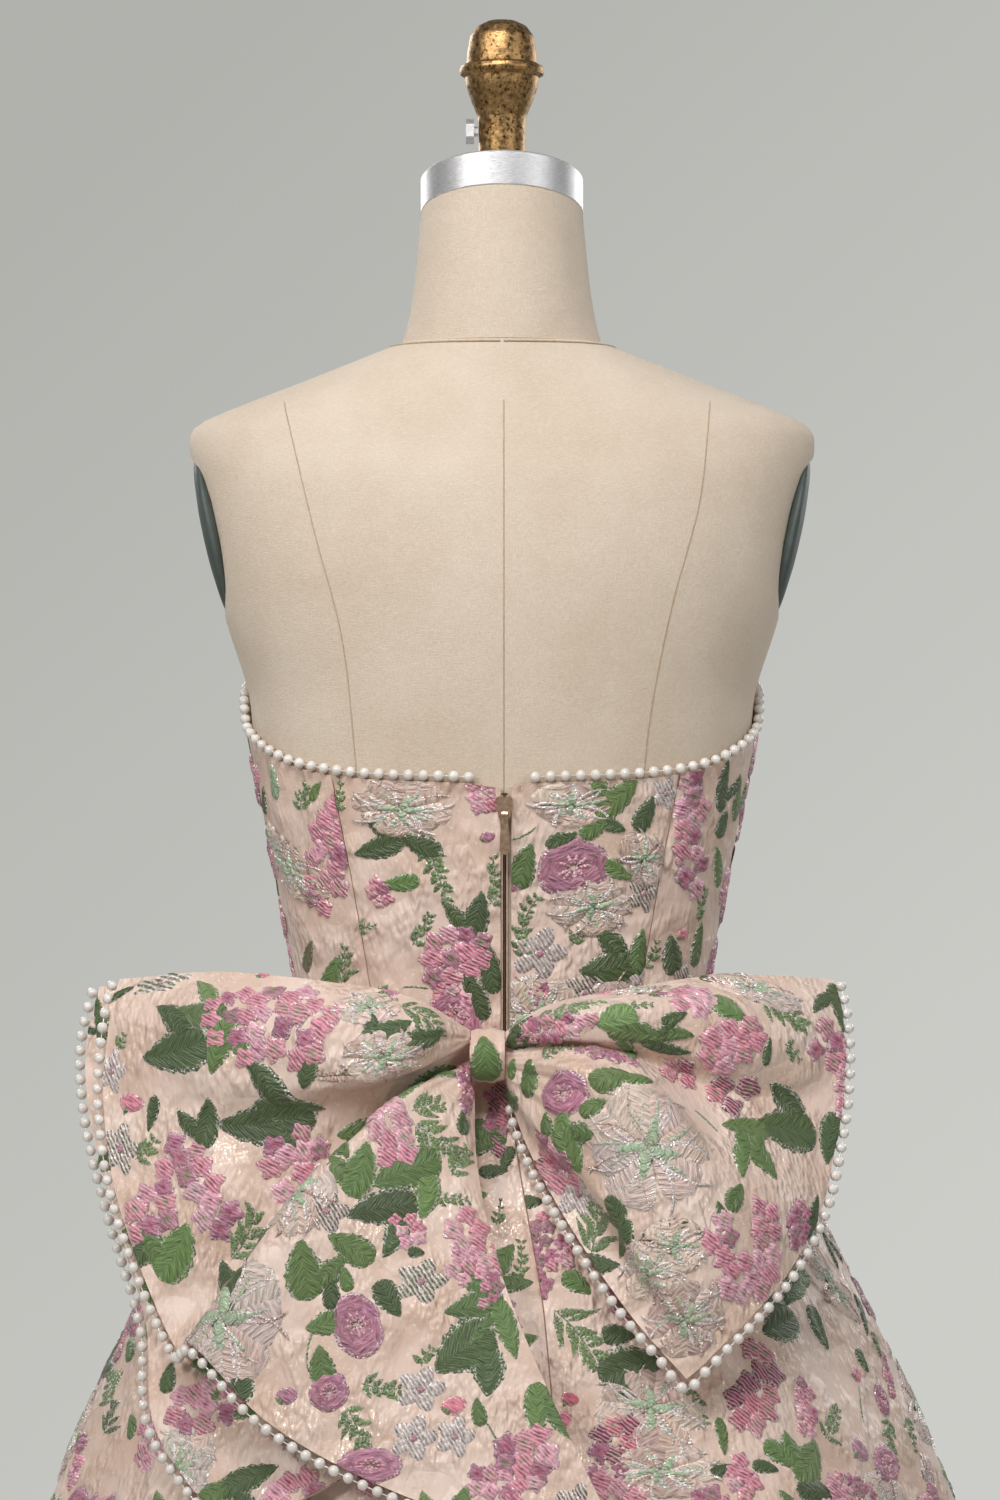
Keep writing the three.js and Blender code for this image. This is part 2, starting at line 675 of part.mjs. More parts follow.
// Pearl strands
function necklineStrand() {
  const lift = PEARL.radius + 2 * GAP;
  const from = Math.atan2(NECKLINE_OPEN, along(FORM, "z", "back", NECKLINE[0].z)) / RAD;
  const ts = steps(STRAND_STEPS.neckline).map((t) => mix(from, lap - from, t));
  return strand(ts.map((angle) => {
    const z = neckline(angle);
    return body(z + lift, angle, PEARL.radius + 2 * GAP);
  }));
}
add("pearls_neckline", "pearl", necklineStrand());
add("pearls_bow_left_front", "pearl", strand(outerEdge(leftFront, STRAND_STEPS.leftFront)));
const corner = rightFront(1, 1);
const past = corner.clone().sub(rightFront(1 - 5 * near, 1 - 5 * near)).setLength(2 * PEARL.radius);
const down = outerEdge(rightFront, STRAND_STEPS.rightOuter).slice(0, -1);
const up = innerEdge(rightFront, STRAND_STEPS.rightInner).slice(1);
add("pearls_bow_right_front", "pearl", strand([...down, corner.add(past), ...up]));
add("pearls_bow_left_back", "pearl", strand(outerEdge(leftBack, STRAND_STEPS.back)));
add("pearls_bow_right_back", "pearl", strand(outerEdge(rightBack, STRAND_STEPS.back)));

// Zip
function backFace(z) {
  return -(along(FORM, "z", "back", z) + EASE + CLOTH);
}

function zipRing(z) {
  const y = backFace(z) + ZIP.sink;
  return [[-1, 0], [1, 0], [1, 1], [-1, 1]].map(([side, deep]) => {
    return new THREE.Vector3(ZIP.x + side * ZIP.half, y + deep * ZIP.depth, z);
  });
}
add("zip_chain", "zip_tape", loft(steps(ZIP.rows).map((t) => zipRing(mix(WAIST_Z + GAP, ZIP.top, t)))));

function block(half, from, to, low, high) {
  const ring = (x) => [[from, low], [to, low], [to, high], [from, high]].map(([y, z]) => {
    return new THREE.Vector3(x, y, z);
  });
  return loft(half.map((x) => ring(x)));
}

function tabShape(rows, thick, lowEnd) {
  const shape = new THREE.Shape(rows.map(([x, z]) => new THREE.Vector2(x, z)));
  const g = new THREE.ExtrudeGeometry(shape, { depth: thick, bevelEnabled: false });
  g.rotateX(QUARTER * RAD);
  return g.translate(0, lowEnd, 0);
}

const reach = SLIDER.topHalf;
const lean = Math.atan2(backFace(SLIDER.z + reach) - backFace(SLIDER.z - reach), 2 * reach);
const zipPlace = new THREE.Matrix4()
  .makeTranslation(ZIP.x, backFace(SLIDER.z) - SLIDER.lift, SLIDER.z)
  .multiply(new THREE.Matrix4().makeRotationX(-lean));
const halfTall = SLIDER.tall / 2;
const shield = [
  [-SLIDER.topHalf + SLIDER.corner, halfTall],
  [-SLIDER.topHalf, halfTall - SLIDER.corner],
  [-SLIDER.topHalf, SLIDER.corner],
  [-SLIDER.lowHalf, -halfTall + SLIDER.corner],
  [-SLIDER.lowHalf + SLIDER.corner, -halfTall],
  [SLIDER.lowHalf - SLIDER.corner, -halfTall],
  [SLIDER.lowHalf, -halfTall + SLIDER.corner],
  [SLIDER.topHalf, SLIDER.corner],
  [SLIDER.topHalf, halfTall - SLIDER.corner],
  [SLIDER.topHalf - SLIDER.corner, halfTall],
];
const barrelY = -SLIDER.thick - LUG.out / 2 - GAP;
const lugs = [-1, 1].map((side) => manifoldOf(block(
  [side * LUG.inner, side * (LUG.inner + LUG.wide)],
  -SLIDER.thick + LUG.sunk, -SLIDER.thick - LUG.out, LUG.z - LUG.tall / 2, LUG.z + LUG.tall / 2)));
const sliderBody = lugs.reduce((all, lug) => all.add(lug), manifoldOf(tabShape(shield, SLIDER.thick, 0)));
add("zip_slider", "zip_metal", geometryOf(sliderBody).applyMatrix4(zipPlace));

const barrel = loft([-PULL.half, PULL.half].map((x) => circle(PULL.round, (angle) => {
  const s = Math.sin(angle * RAD);
  const c = Math.cos(angle * RAD);
  return new THREE.Vector3(x, PULL.barrel * s, PULL.barrel * c);
})));
const tabEnd = steps(PULL.tipSteps).map((t) => {
  const turned = mix(0, HALF_TURN, t) * RAD;
  return [PULL.low * Math.cos(turned), -PULL.length + PULL.low - PULL.low * Math.sin(turned)];
});
const tab = tabShape([[-PULL.top, 0], [PULL.top, 0], ...tabEnd], PULL.thick, PULL.thick / 2);
const pull = manifoldOf(barrel).add(manifoldOf(tab));
const hinge = new THREE.Vector3(0, barrelY, LUG.z).applyMatrix4(zipPlace);
const pullPlace = new THREE.Matrix4().makeTranslation(hinge.x, hinge.y, hinge.z);
add("zip_pull", "zip_metal", geometryOf(pull).applyMatrix4(pullPlace));

export default root;
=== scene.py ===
import math
import bpy
import numpy as np
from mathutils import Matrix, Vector


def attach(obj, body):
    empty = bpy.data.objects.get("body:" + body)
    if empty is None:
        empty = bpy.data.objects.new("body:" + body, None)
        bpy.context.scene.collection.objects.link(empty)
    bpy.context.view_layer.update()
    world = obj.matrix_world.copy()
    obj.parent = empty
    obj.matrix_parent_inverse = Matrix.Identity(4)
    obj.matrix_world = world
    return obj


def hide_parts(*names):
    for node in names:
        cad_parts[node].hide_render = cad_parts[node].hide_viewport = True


# Looks of the homecoming dress on its form. Tables are in millimetres, as in the CAD source.
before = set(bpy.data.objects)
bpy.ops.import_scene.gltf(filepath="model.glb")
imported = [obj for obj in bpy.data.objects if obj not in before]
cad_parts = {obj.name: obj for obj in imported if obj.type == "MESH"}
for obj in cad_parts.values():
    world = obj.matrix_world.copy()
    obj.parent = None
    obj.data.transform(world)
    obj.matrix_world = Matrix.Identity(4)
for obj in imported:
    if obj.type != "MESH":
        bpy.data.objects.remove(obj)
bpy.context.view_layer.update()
MM = 0.001
MM_PER_PIXEL = 0.61
RNG = np.random.default_rng(7)


def table(text, *shape):
    """Numbers of a plain text, in rows of this shape."""
    return np.array(text.split(), float).reshape(-1, *shape)


def rows_of(text):
    """Rows of a plain text, parted by commas: words stay words, and the rest are numbers."""
    return [[cell if cell.isalpha() else float(cell) for cell in row.split()] for row in text.split(",")]


# Tables of the shape
# Form: height, half-width, depth behind, depth in front
FORM = table("""
    800 158 110 106  860 166 116 106  930 158 108 100  980 141 96 94  1040 118.3 84 84  1074 123.5 83 87
    1108 129.8 84 96  1139 135.6 87 108  1170 142 90 120  1219 151.5 94 131  1246 154.5 96 131
    1289 168 98 122  1327 177 97 108  1373 186 89 92  1395 190.5 79 80  1408 186 73 73  1420 160 67 66
    1433 126 61 60  1446 93 56 56  1457 65 53 54""", 4)
BUST = {"angle": 147, "spread": 24, "z": 1212, "rise": 56, "height": 6.5}
SQUARE = 0.03
NECK = table("""
    1457.3 61 53 53  1470 57.5 52.4 52.4  1490 54 51.4 51.4  1515 51.3 50.4 50.4  1537 49.3 49.3 49.3""", 4)
NECK_TILT = 0.25
PLATE = {"radius": 49.5, "height": 21}
# Turned shapes: height and radius
CAP = table("""
    1560.6 14.2  1590 14.2  1597 14.8  1606 18.6  1615 21.8  1621 22.6  1622.6 25.4  1625 26  1627.4 25.2
    1629 21.6  1636 21.2  1646 19.4  1652 15  1655.4 8  1656 2""", 2)
ARM = {"x": 176, "y": 2, "z": 1340, "tall": 51, "deep": 40, "thick": 10, "lean": 12.5, "shaft": 14}
# Arm cover: level and share of its size
ARM_PROFILE = table("""
    -1 0.9  -0.5 1  0.1 0.98  0.6 0.8  1 0.42""", 2)
BASE = table("""
    0 206  3 210  9 210  14 204  19 60  23 26  32 22""", 2)
POLE_RADIUS = 16
# Upper edge: angle from the centre back, and height
NECKLINE = table("""
    0 1188.2  3 1189.2  6 1191  34 1194  51 1199.5  62 1206.5  74 1215.5  83 1223  90 1234  98 1244
    120 1253  148 1259  166 1248  180 1234""", 2)
SKIRT = table("""
    1040 122.2 88.2 88.2  1000 147 111 109  960 172 135 132  920 196 160 156  870 223 183 180
    820 246 205 203  754 273 231 230  700 297 254 252  640 323 278 276  575 350 303 302""", 4)
# Folds of the skirt: angle, spread, height at the hem, start
FOLDS = table("""
    34 10 21 1000  14.5 6.5 -15 1010  -4 7 9 1020  -22 7 -9 1010  -38 10 15 1000  -59 9 -10 990  -77 9 9 990
    60 9 -10 990  80 9 9 980  104 10 -12 1000  125 11 15 1010  148 9 -12 1000  168 10 13 1010
    -171 8 -10 1000  -151 10 15 1000  -128 10 -12 1010  -104 10 8 1000""", 4)
FOLD_POWER = 1.35
BACK_SEAM = table("""
    1040 0.8  984 2.8  925 5.4  887 6.5  754 7.4  575 8""", 2)
SKIRT_SIDE = 92
WAIST_Z, HEM_Z = 1040, 575
CLOTH, EASE, GAP = 1.8, 1.3, 0.3
# Wings of the bow: each row runs from the knot to the free end
LEFT_FRONT = table("""
    -18.7 -122 1048  -51 -130 1067  -94 -120 1075  -163 -102 1081  -230 -80 1075
    -18.7 -127 1045  -47 -150 1052  -90 -152 1055  -158 -130 1059  -235 -90 1057
    -18.9 -127 1041  -52 -151 1029  -94 -155 1020  -156 -134 1020  -238 -96 1030
    -18.9 -121 1037  -54 -136 1020  -99 -142 1007  -163 -126 996  -238 -99 1002
    -18.9 -119 1034  -54 -131 1013  -104 -139 982  -164 -136 957  -227 -116 946
    -18.7 -119 1030  -48 -132 1010  -94 -143 970  -143 -150 914  -189 -154 863
    -18.7 -126 1027  -50 -152 1015  -94 -176 980  -138 -190 929  -177 -186 870
    -18.9 -128 1022  -40 -158 993  -73 -186 945  -105 -203 890  -135 -212 832
    -18.7 -127 1016  -24 -159 982  -40 -191 923  -50 -212 862  -64 -232 796
    -16 -125 1011  -14 -154 971  -1 -186 916  28 -220 848  76 -256 754""", 5, 3)
RIGHT_FRONT = table("""
    1.9 -122 1047  25 -129 1062  64 -121 1071  132 -103 1079  200 -80 1075
    1.9 -127 1044  31 -148 1057  73 -154 1062  137 -134 1060  204 -92 1053
    1.9 -127 1040  33 -148 1046  71 -152 1043  139 -138 1031  205 -98 1028
    1.9 -124 1037  35 -142 1042  76 -144 1036  133 -134 1012  203 -104 1003
    1.9 -126 1033  36 -152 1037  75 -162 1030  123 -158 994  199 -114 979
    1.9 -130 1029  37 -162 1028  84 -180 1009  132 -178 964  189 -134 947
    1.9 -129 1025  34 -162 1015  78 -188 983  124 -192 936  169 -160 914
    2 -127 1020  26 -156 1004  67 -184 965  109 -200 913  145 -184 890
    2.4 -123 1016  18 -148 993  50 -174 963  92 -198 906  124 -196 871
    3 -117 1012  19 -136 988  51 -160 952  86 -188 898  114 -198 861
    4 -115 1008  14 -134 976  37 -162 929  69 -186 887  103 -198 852""", 5, 3)
LEFT_BACK = table("""
    -19 -108 1044  -52 -106 1061  -95 -94 1069  -167 -74 1074  -245 -52 1069
    -19 -107 1039  -57 -112 1042  -107 -106 1042  -178 -86 1042  -252 -60 1034
    -20 -107 1034  -57 -118 1020  -115 -118 1005  -182 -100 996  -248 -74 994
    -20 -107 1029  -55 -124 994  -113 -132 956  -174 -122 941  -230 -100 934
    -20 -109 1025  -46 -136 973  -96 -154 915  -153 -148 889  -210 -126 876
    -20 -111 1021  -35 -146 960  -73 -178 887  -135 -180 834  -204 -154 823
    -19.5 -112 1017  -22 -150 952  -40 -192 872  -93 -210 802  -162 -196 771""", 5, 3)
RIGHT_BACK = table("""
    2 -108 1044  34 -106 1059  81 -94 1066  139 -76 1071  196 -56 1064
    2 -107 1039  40 -112 1042  90 -106 1042  143 -88 1041  200 -64 1032
    2 -107 1034  42 -118 1022  94 -118 1009  144 -102 1000  195 -80 992
    2 -107 1029  39 -126 1005  86 -134 976  131 -128 958  175 -108 944
    2 -109 1025  32 -134 992  69 -150 949  109 -150 923  144 -138 907
    3 -108 1022  25 -131 985  52 -150 937  79 -166 902  106 -177 878""", 5, 3)
END_TRIM, SIDE_TRIM = 0.015, 0.025
KNOT = {"x": -8.3, "y": -118.5, "z": 1033, "half": 9.8, "deep": 17, "tall": 14.3, "wall": 2.2, "puff": 1.5}
PEARL_RADIUS, PEARL_PITCH = 3.2, 9.0
NECKLINE_OPEN = 9.4
ZIP = {"x": 1.5, "half": 1.8, "top": 1185.5, "depth": 1.2, "sink": 0.5}
SEAMS = {  # angle at the waist and at the top edge
    "back_left": (-36.5, -41), "back_right": (39, 43), "side_left": (-90, -91),
    "side_right": (90, 91), "front_left": (-155, -147), "front_right": (155, 147)}

# Creases of the bow wings: place at the knot, place at the end, spread, height, reach
CREASES = {
    "bow_left_front": """
        0.06 0.05 0.022 1.6 0.45  0.15 0.13 0.018 -1.5 0.5  0.23 0.2 0.02 1.7 0.62  0.3 0.29 0.016 -1.4 0.5
        0.55 0.54 0.02 -1.6 0.55  0.62 0.64 0.02 1.9 0.7  0.7 0.73 0.018 -1.7 0.6  0.78 0.81 0.02 1.6 0.55
        0.88 0.9 0.018 -1.3 0.7""",
    "bow_right_front": """
        0.07 0.06 0.02 1.5 0.42  0.14 0.13 0.018 -1.4 0.5  0.22 0.21 0.018 1.4 0.5  0.43 0.42 0.018 -1.5 0.5
        0.5 0.5 0.02 1.8 0.66  0.58 0.59 0.018 -1.6 0.6  0.68 0.69 0.018 1.3 0.5  0.84 0.83 0.02 -1.2 0.6""",
    "bow_left_back": """
        0.15 0.13 0.03 1.5 0.5  0.33 0.32 0.03 -1.4 0.6  0.52 0.54 0.03 1.6 0.6  0.72 0.74 0.03 -1.4 0.6
        0.88 0.88 0.03 1.3 0.7""",
    "bow_right_back": """
        0.16 0.15 0.03 1.4 0.5  0.38 0.37 0.03 -1.4 0.6  0.6 0.62 0.03 1.5 0.6  0.82 0.82 0.03 -1.2 0.6""",
}
# Gathers of the skirt below the waist: angle at the waist, angle below, spread, height, lower end
GATHERS = table("""
    -3 -5 1.1 2.2 900  -7 -10 1.2 -1.8 920  4 6 1.0 -2 890  9 12 1.2 2 880  -14 -17 1.6 1.6 940
    15 19 1.5 -1.5 930  24 28 1.8 1.3 950  -27 -31 2 -1.2 950  46 49 2.2 1.1 960  -50 -53 2.2 1.2 960
    75 77 2.4 -1 970  -74 -78 2.4 -1 960  110 112 2.5 1.2 960  140 141 2.3 -1.1 970  160 158 2.2 1.3 960
    -170 -169 2.2 -1.2 960  -140 -142 2.4 1.2 950  -112 -114 2.5 -1.1 960""", 5)

# Mathematics of the shape
def along(rows, at, column):
    """Smooth value of a column at a place in the first one."""
    rows = rows if rows[0, 0] < rows[-1, 0] else rows[::-1]
    key, value = rows[:, 0], rows[:, column]
    n = len(rows)
    lo, hi = np.maximum(np.arange(n) - 1, 0), np.minimum(np.arange(n) + 1, n - 1)
    slope = (value[hi] - value[lo]) / (key[hi] - key[lo])
    i = np.clip(np.searchsorted(key, at) - 1, 0, n - 2)
    h = key[i + 1] - key[i]
    t = np.clip((at - key[i]) / h, 0, 1)
    a, b, m, q = value[i], value[i + 1], slope[i] * h, slope[i + 1] * h
    return a + t * (m + t * (3 * (b - a) - 2 * m - q + t * (2 * (a - b) + m + q)))


def bell(distance, spread):
    return np.exp(-(distance / spread) ** 2)


def turned(a, b):
    return (a - b + 900) % 360 - 180


def mix(a, b, t):
    return a + (b - a) * t


def unit(vectors):
    return vectors / np.maximum(np.linalg.norm(vectors, axis=-1, keepdims=True), 1e-9)


def oval(rows, z, angle, out, square=SQUARE):
    s, c = np.sin(np.radians(angle)), np.cos(np.radians(angle))
    half = along(rows, z, 1) + out
    depth = np.where(c > 0, along(rows, z, 2), along(rows, z, 3)) + out
    wide = 1 + square * (2 * s * c) ** 2
    return np.stack([half * s * wide, -depth * c * wide, z + 0 * s], -1)


def body(z, angle, out):
    p = oval(FORM, z, angle, out)
    side = bell(np.abs(turned(angle, 0)) - BUST["angle"], BUST["spread"])
    p[..., 1] += BUST["height"] * side * bell(z - BUST["z"], BUST["rise"])
    return p


def skirt(z, angle):
    out = np.zeros_like(z + angle)
    for place, spread, height, start in FOLDS:
        t = np.maximum((start - z) / (start - HEM_Z), 0) ** FOLD_POWER
        out += height * t * bell(turned(angle, place), spread)
    return oval(SKIRT, z, angle, out)


def neckline(angle):
    return along(NECKLINE, np.abs(turned(angle, 0)), 1)


def spline(points, t):
    """Centripetal curve through points[n, ..., 3] at each t."""
    n = len(points)
    line = np.concatenate([2 * points[:1] - points[1:2], points, 2 * points[-1:] - points[-2:-1]])
    at = np.clip(t, 0, 1) * (n - 1)
    i = np.minimum(at.astype(int), n - 2)
    w = (at - i).reshape((-1,) + (1,) * (points.ndim - 1))
    p0, p1, p2, p3 = (line[i + k] for k in range(4))
    d0, d1, d2 = (np.maximum(((b - a) ** 2).sum(-1, keepdims=True) ** 0.25, 1e-4)
                  for a, b in ((p0, p1), (p1, p2), (p2, p3)))
    m = ((p1 - p0) / d0 - (p2 - p0) / (d0 + d1) + (p2 - p1) / d1) * d1
    q = ((p2 - p1) / d1 - (p3 - p1) / (d1 + d2) + (p3 - p2) / d2) * d1
    return p1 + w * (m + w * (3 * (p2 - p1) - 2 * m - q + w * (2 * (p1 - p2) + m + q)))


def wing_points(lines, us, vs, side_trim=0.0):
    rows = spline(lines.transpose(1, 0, 2), us * (1 - END_TRIM))
    return spline(rows.transpose(1, 0, 2), vs * (1 - side_trim)).transpose(1, 0, 2)


def ripple(p):
    """Slow uneven swell of hanging cloth, in mm, from a place in space."""
    x, y, z = p[..., 0], p[..., 1], p[..., 2]
    return (0.45 * np.sin(x / 17 + z / 29 + 1.3) + 0.4 * np.sin(y / 15 - z / 23 + x / 41)
            + 0.3 * np.sin(z / 9.5 + x / 13 + 0.7) + 0.25 * np.sin(x / 7.1 - y / 8.3 + z / 11.7))


# Meshes, with the angles in degrees from which an edge is sharp
CLOTH_SHARP, TURNED_SHARP = 50, 35


def add_object(name, data):
    made = bpy.data.objects.new(name, data)
    bpy.context.scene.collection.objects.link(made)
    return made


def make_piece(name, points, faces, material, replaced=(), marks=None, sharp=CLOTH_SHARP):
    mesh = bpy.data.meshes.new(name)
    faces = np.asarray(faces, np.int32)
    n, k = faces.shape
    mesh.vertices.add(len(points))
    mesh.vertices.foreach_set("co", (np.asarray(points) * MM).astype(np.float32).ravel())
    mesh.loops.add(n * k)
    mesh.loops.foreach_set("vertex_index", faces.ravel())
    mesh.polygons.add(n)
    mesh.polygons.foreach_set("loop_start", np.arange(0, n * k, k, dtype=np.int32))
    mesh.polygons.foreach_set("use_smooth", np.ones(n, bool))
    for key, values in (marks or {}).items():
        layer = mesh.attributes.new(key, "FLOAT_COLOR", "POINT")
        layer.data.foreach_set("color", values.astype(np.float32).ravel())
    mesh.update(calc_edges=True)
    mesh.validate()
    if sharp:
        mesh.set_sharp_from_angle(angle=math.radians(sharp))
    mesh.materials.append(material)
    piece = add_object(name, mesh)
    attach(piece, "dress_and_form")
    if replaced:
        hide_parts(*replaced)
    return piece


def grid_faces(nu, nv, flip=False, start=0):
    at = np.arange(nu * nv).reshape(nu, nv) + start
    quads = np.stack([at[:-1, :-1], at[1:, :-1], at[1:, 1:], at[:-1, 1:]], -1).reshape(-1, 4)
    return quads[:, ::-1] if flip else quads


def shell_faces(nu, nv, flip):
    outer = grid_faces(nu, nv)
    total = nu * nv
    at = np.arange(total).reshape(nu, nv)
    ring = np.concatenate([at[:-1, 0], at[-1, :-1], at[:0:-1, -1], at[0, :0:-1]])
    after = np.roll(ring, -1)
    rim = np.stack([after, ring, ring + total, after + total], -1)
    faces = np.concatenate([outer, outer[:, ::-1] + total, rim])
    return faces[:, ::-1] if flip else faces


def ring_quads(count, around):
    """Quads between rings of points, each ring closed on itself."""
    at = np.arange(count * around).reshape(count, around)
    nxt = np.roll(at, -1, 1)
    return np.stack([at[:-1], nxt[:-1], nxt[1:], at[1:]], -1).reshape(-1, 4)


def halves(quads):
    return np.concatenate([quads[:, [0, 1, 2]], quads[:, [0, 2, 3]]])


def loft(rings):
    """Points, quads and end triangles of a closed solid through rings[r, n, 3]."""
    count, around, _ = rings.shape
    first = np.arange(around)
    last = first + (count - 1) * around
    low = 0 * first + count * around
    caps = [np.stack([np.roll(first, -1), first, low], -1), np.stack([last, np.roll(last, -1), low + 1], -1)]
    points = np.concatenate([rings.reshape(-1, 3), rings[:1].mean(1), rings[-1:].mean(1)])
    return points, ring_quads(count, around), np.concatenate(caps)


def loft_piece(name, rings, material, replaced=()):
    """A closed solid through rings counted anticlockwise from above."""
    points, quads, caps = loft(rings)
    faces = np.concatenate([halves(quads), caps])
    return make_piece(name, points, faces, material, replaced, sharp=TURNED_SHARP)


# A motif is laid on cloth in this many steps, each at most so many grid places long
LAY_STEPS, LONGEST_STEP = 5, 9


class Cloth:
    """A sheet of cloth as a grid of points with a wall behind it, and a map for what is woven on it."""

    def __init__(self, name, points, side, held, rests, relief=None, wall=CLOTH):
        self.name = name
        normal = side * unit(np.cross(np.gradient(points, axis=0), np.gradient(points, axis=1)))
        if relief is not None:
            points = points + normal * relief[..., None]
            normal = side * unit(np.cross(np.gradient(points, axis=0), np.gradient(points, axis=1)))
        self.points, self.normal = points, normal
        self.tu, self.tv = np.gradient(points, axis=0), np.gradient(points, axis=1)
        nu, nv, _ = points.shape
        both = np.concatenate([points.reshape(-1, 3), (points - wall * normal).reshape(-1, 3)])
        faces = shell_faces(nu, nv, side < 0)
        self.piece = make_piece("cloth_" + name, both, faces, GROUND, [name])
        self.held, self.rests = held, rests
        self.patterns = []

    def declare(self, pieces):
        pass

    def sample(self, grid, at):
        nu, nv = self.points.shape[:2]
        a = np.clip(at[:, 0], 0, nu - 1)
        b = np.clip(at[:, 1], 0, nv - 1)
        i, j = np.minimum(a.astype(int), nu - 2), np.minimum(b.astype(int), nv - 2)
        s, t = (a - i)[:, None], (b - j)[:, None]
        return ((grid[i, j] * (1 - s) + grid[i + 1, j] * s) * (1 - t)
                + (grid[i, j + 1] * (1 - s) + grid[i + 1, j + 1] * s) * t)

    def lay(self, i, j, right, pattern):
        """Lays a flat pattern on the cloth with its middle at a grid place, and right as its x axis."""
        at = np.tile([float(i), float(j)], (len(pattern["xy"]), 1))
        for _ in range(LAY_STEPS):
            n = unit(self.sample(self.normal, at))
            tu, tv = self.sample(self.tu, at), self.sample(self.tv, at)
            e = unit(right - n * (n @ right)[:, None])
            f = np.cross(n, e)
            d = (e * pattern["xy"][:, :1] + f * pattern["xy"][:, 1:]) / LAY_STEPS
            a, b, c = (tu * tu).sum(1), (tu * tv).sum(1), (tv * tv).sum(1)
            p, q = (d * tu).sum(1), (d * tv).sum(1)
            det = np.maximum(a * c - b * b, 0.02 * a * c + 1e-6)
            step = np.stack([(c * p - b * q) / det, (a * q - b * p) / det], 1)
            at += np.clip(step, -LONGEST_STEP, LONGEST_STEP)
        nu, nv = self.points.shape[:2]
        out = (at[:, 0] < 0) | (at[:, 0] > nu - 1) | (at[:, 1] < 0) | (at[:, 1] > nv - 1)
        place = self.sample(self.points, at) + unit(self.sample(self.normal, at)) * pattern["h"][:, None]
        faces = pattern["faces"]
        shown = faces[~out[faces].all(1)]
        self.patterns.append((place, shown, pattern["tint"], pattern["marks"], pattern["thread"]))


# Colours
def rgb(r, g, b):
    c = np.array([r, g, b]) / 255
    return np.where(c <= 0.04045, c / 12.92, ((c + 0.055) / 1.055) ** 2.4)


PALETTE = {
    "pink": rgb(220, 128, 148), "light": rgb(238, 168, 186), "mauve": rgb(184, 122, 144),
    "coral": rgb(206, 96, 116), "crimson": rgb(140, 44, 74), "dark": rgb(70, 94, 46),
    "green": rgb(100, 130, 66), "fresh": rgb(120, 152, 88), "olive": rgb(106, 108, 72),
    "sage": rgb(164, 192, 150), "silver": rgb(232, 222, 216), "gold": rgb(198, 160, 144),
    "blush": rgb(232, 206, 190)}


# Woven shapes: how far a rim dips into the cloth, and how much painted shade darkens the rim on a disc and on
# a blade
RIM_DIP, RIM_PAINTED_SHADE, BLADE_RIM_PAINTED_SHADE = -0.15, 0.2, 0.22


def cos_sin(angle):
    return math.cos(math.radians(angle)), math.sin(math.radians(angle))


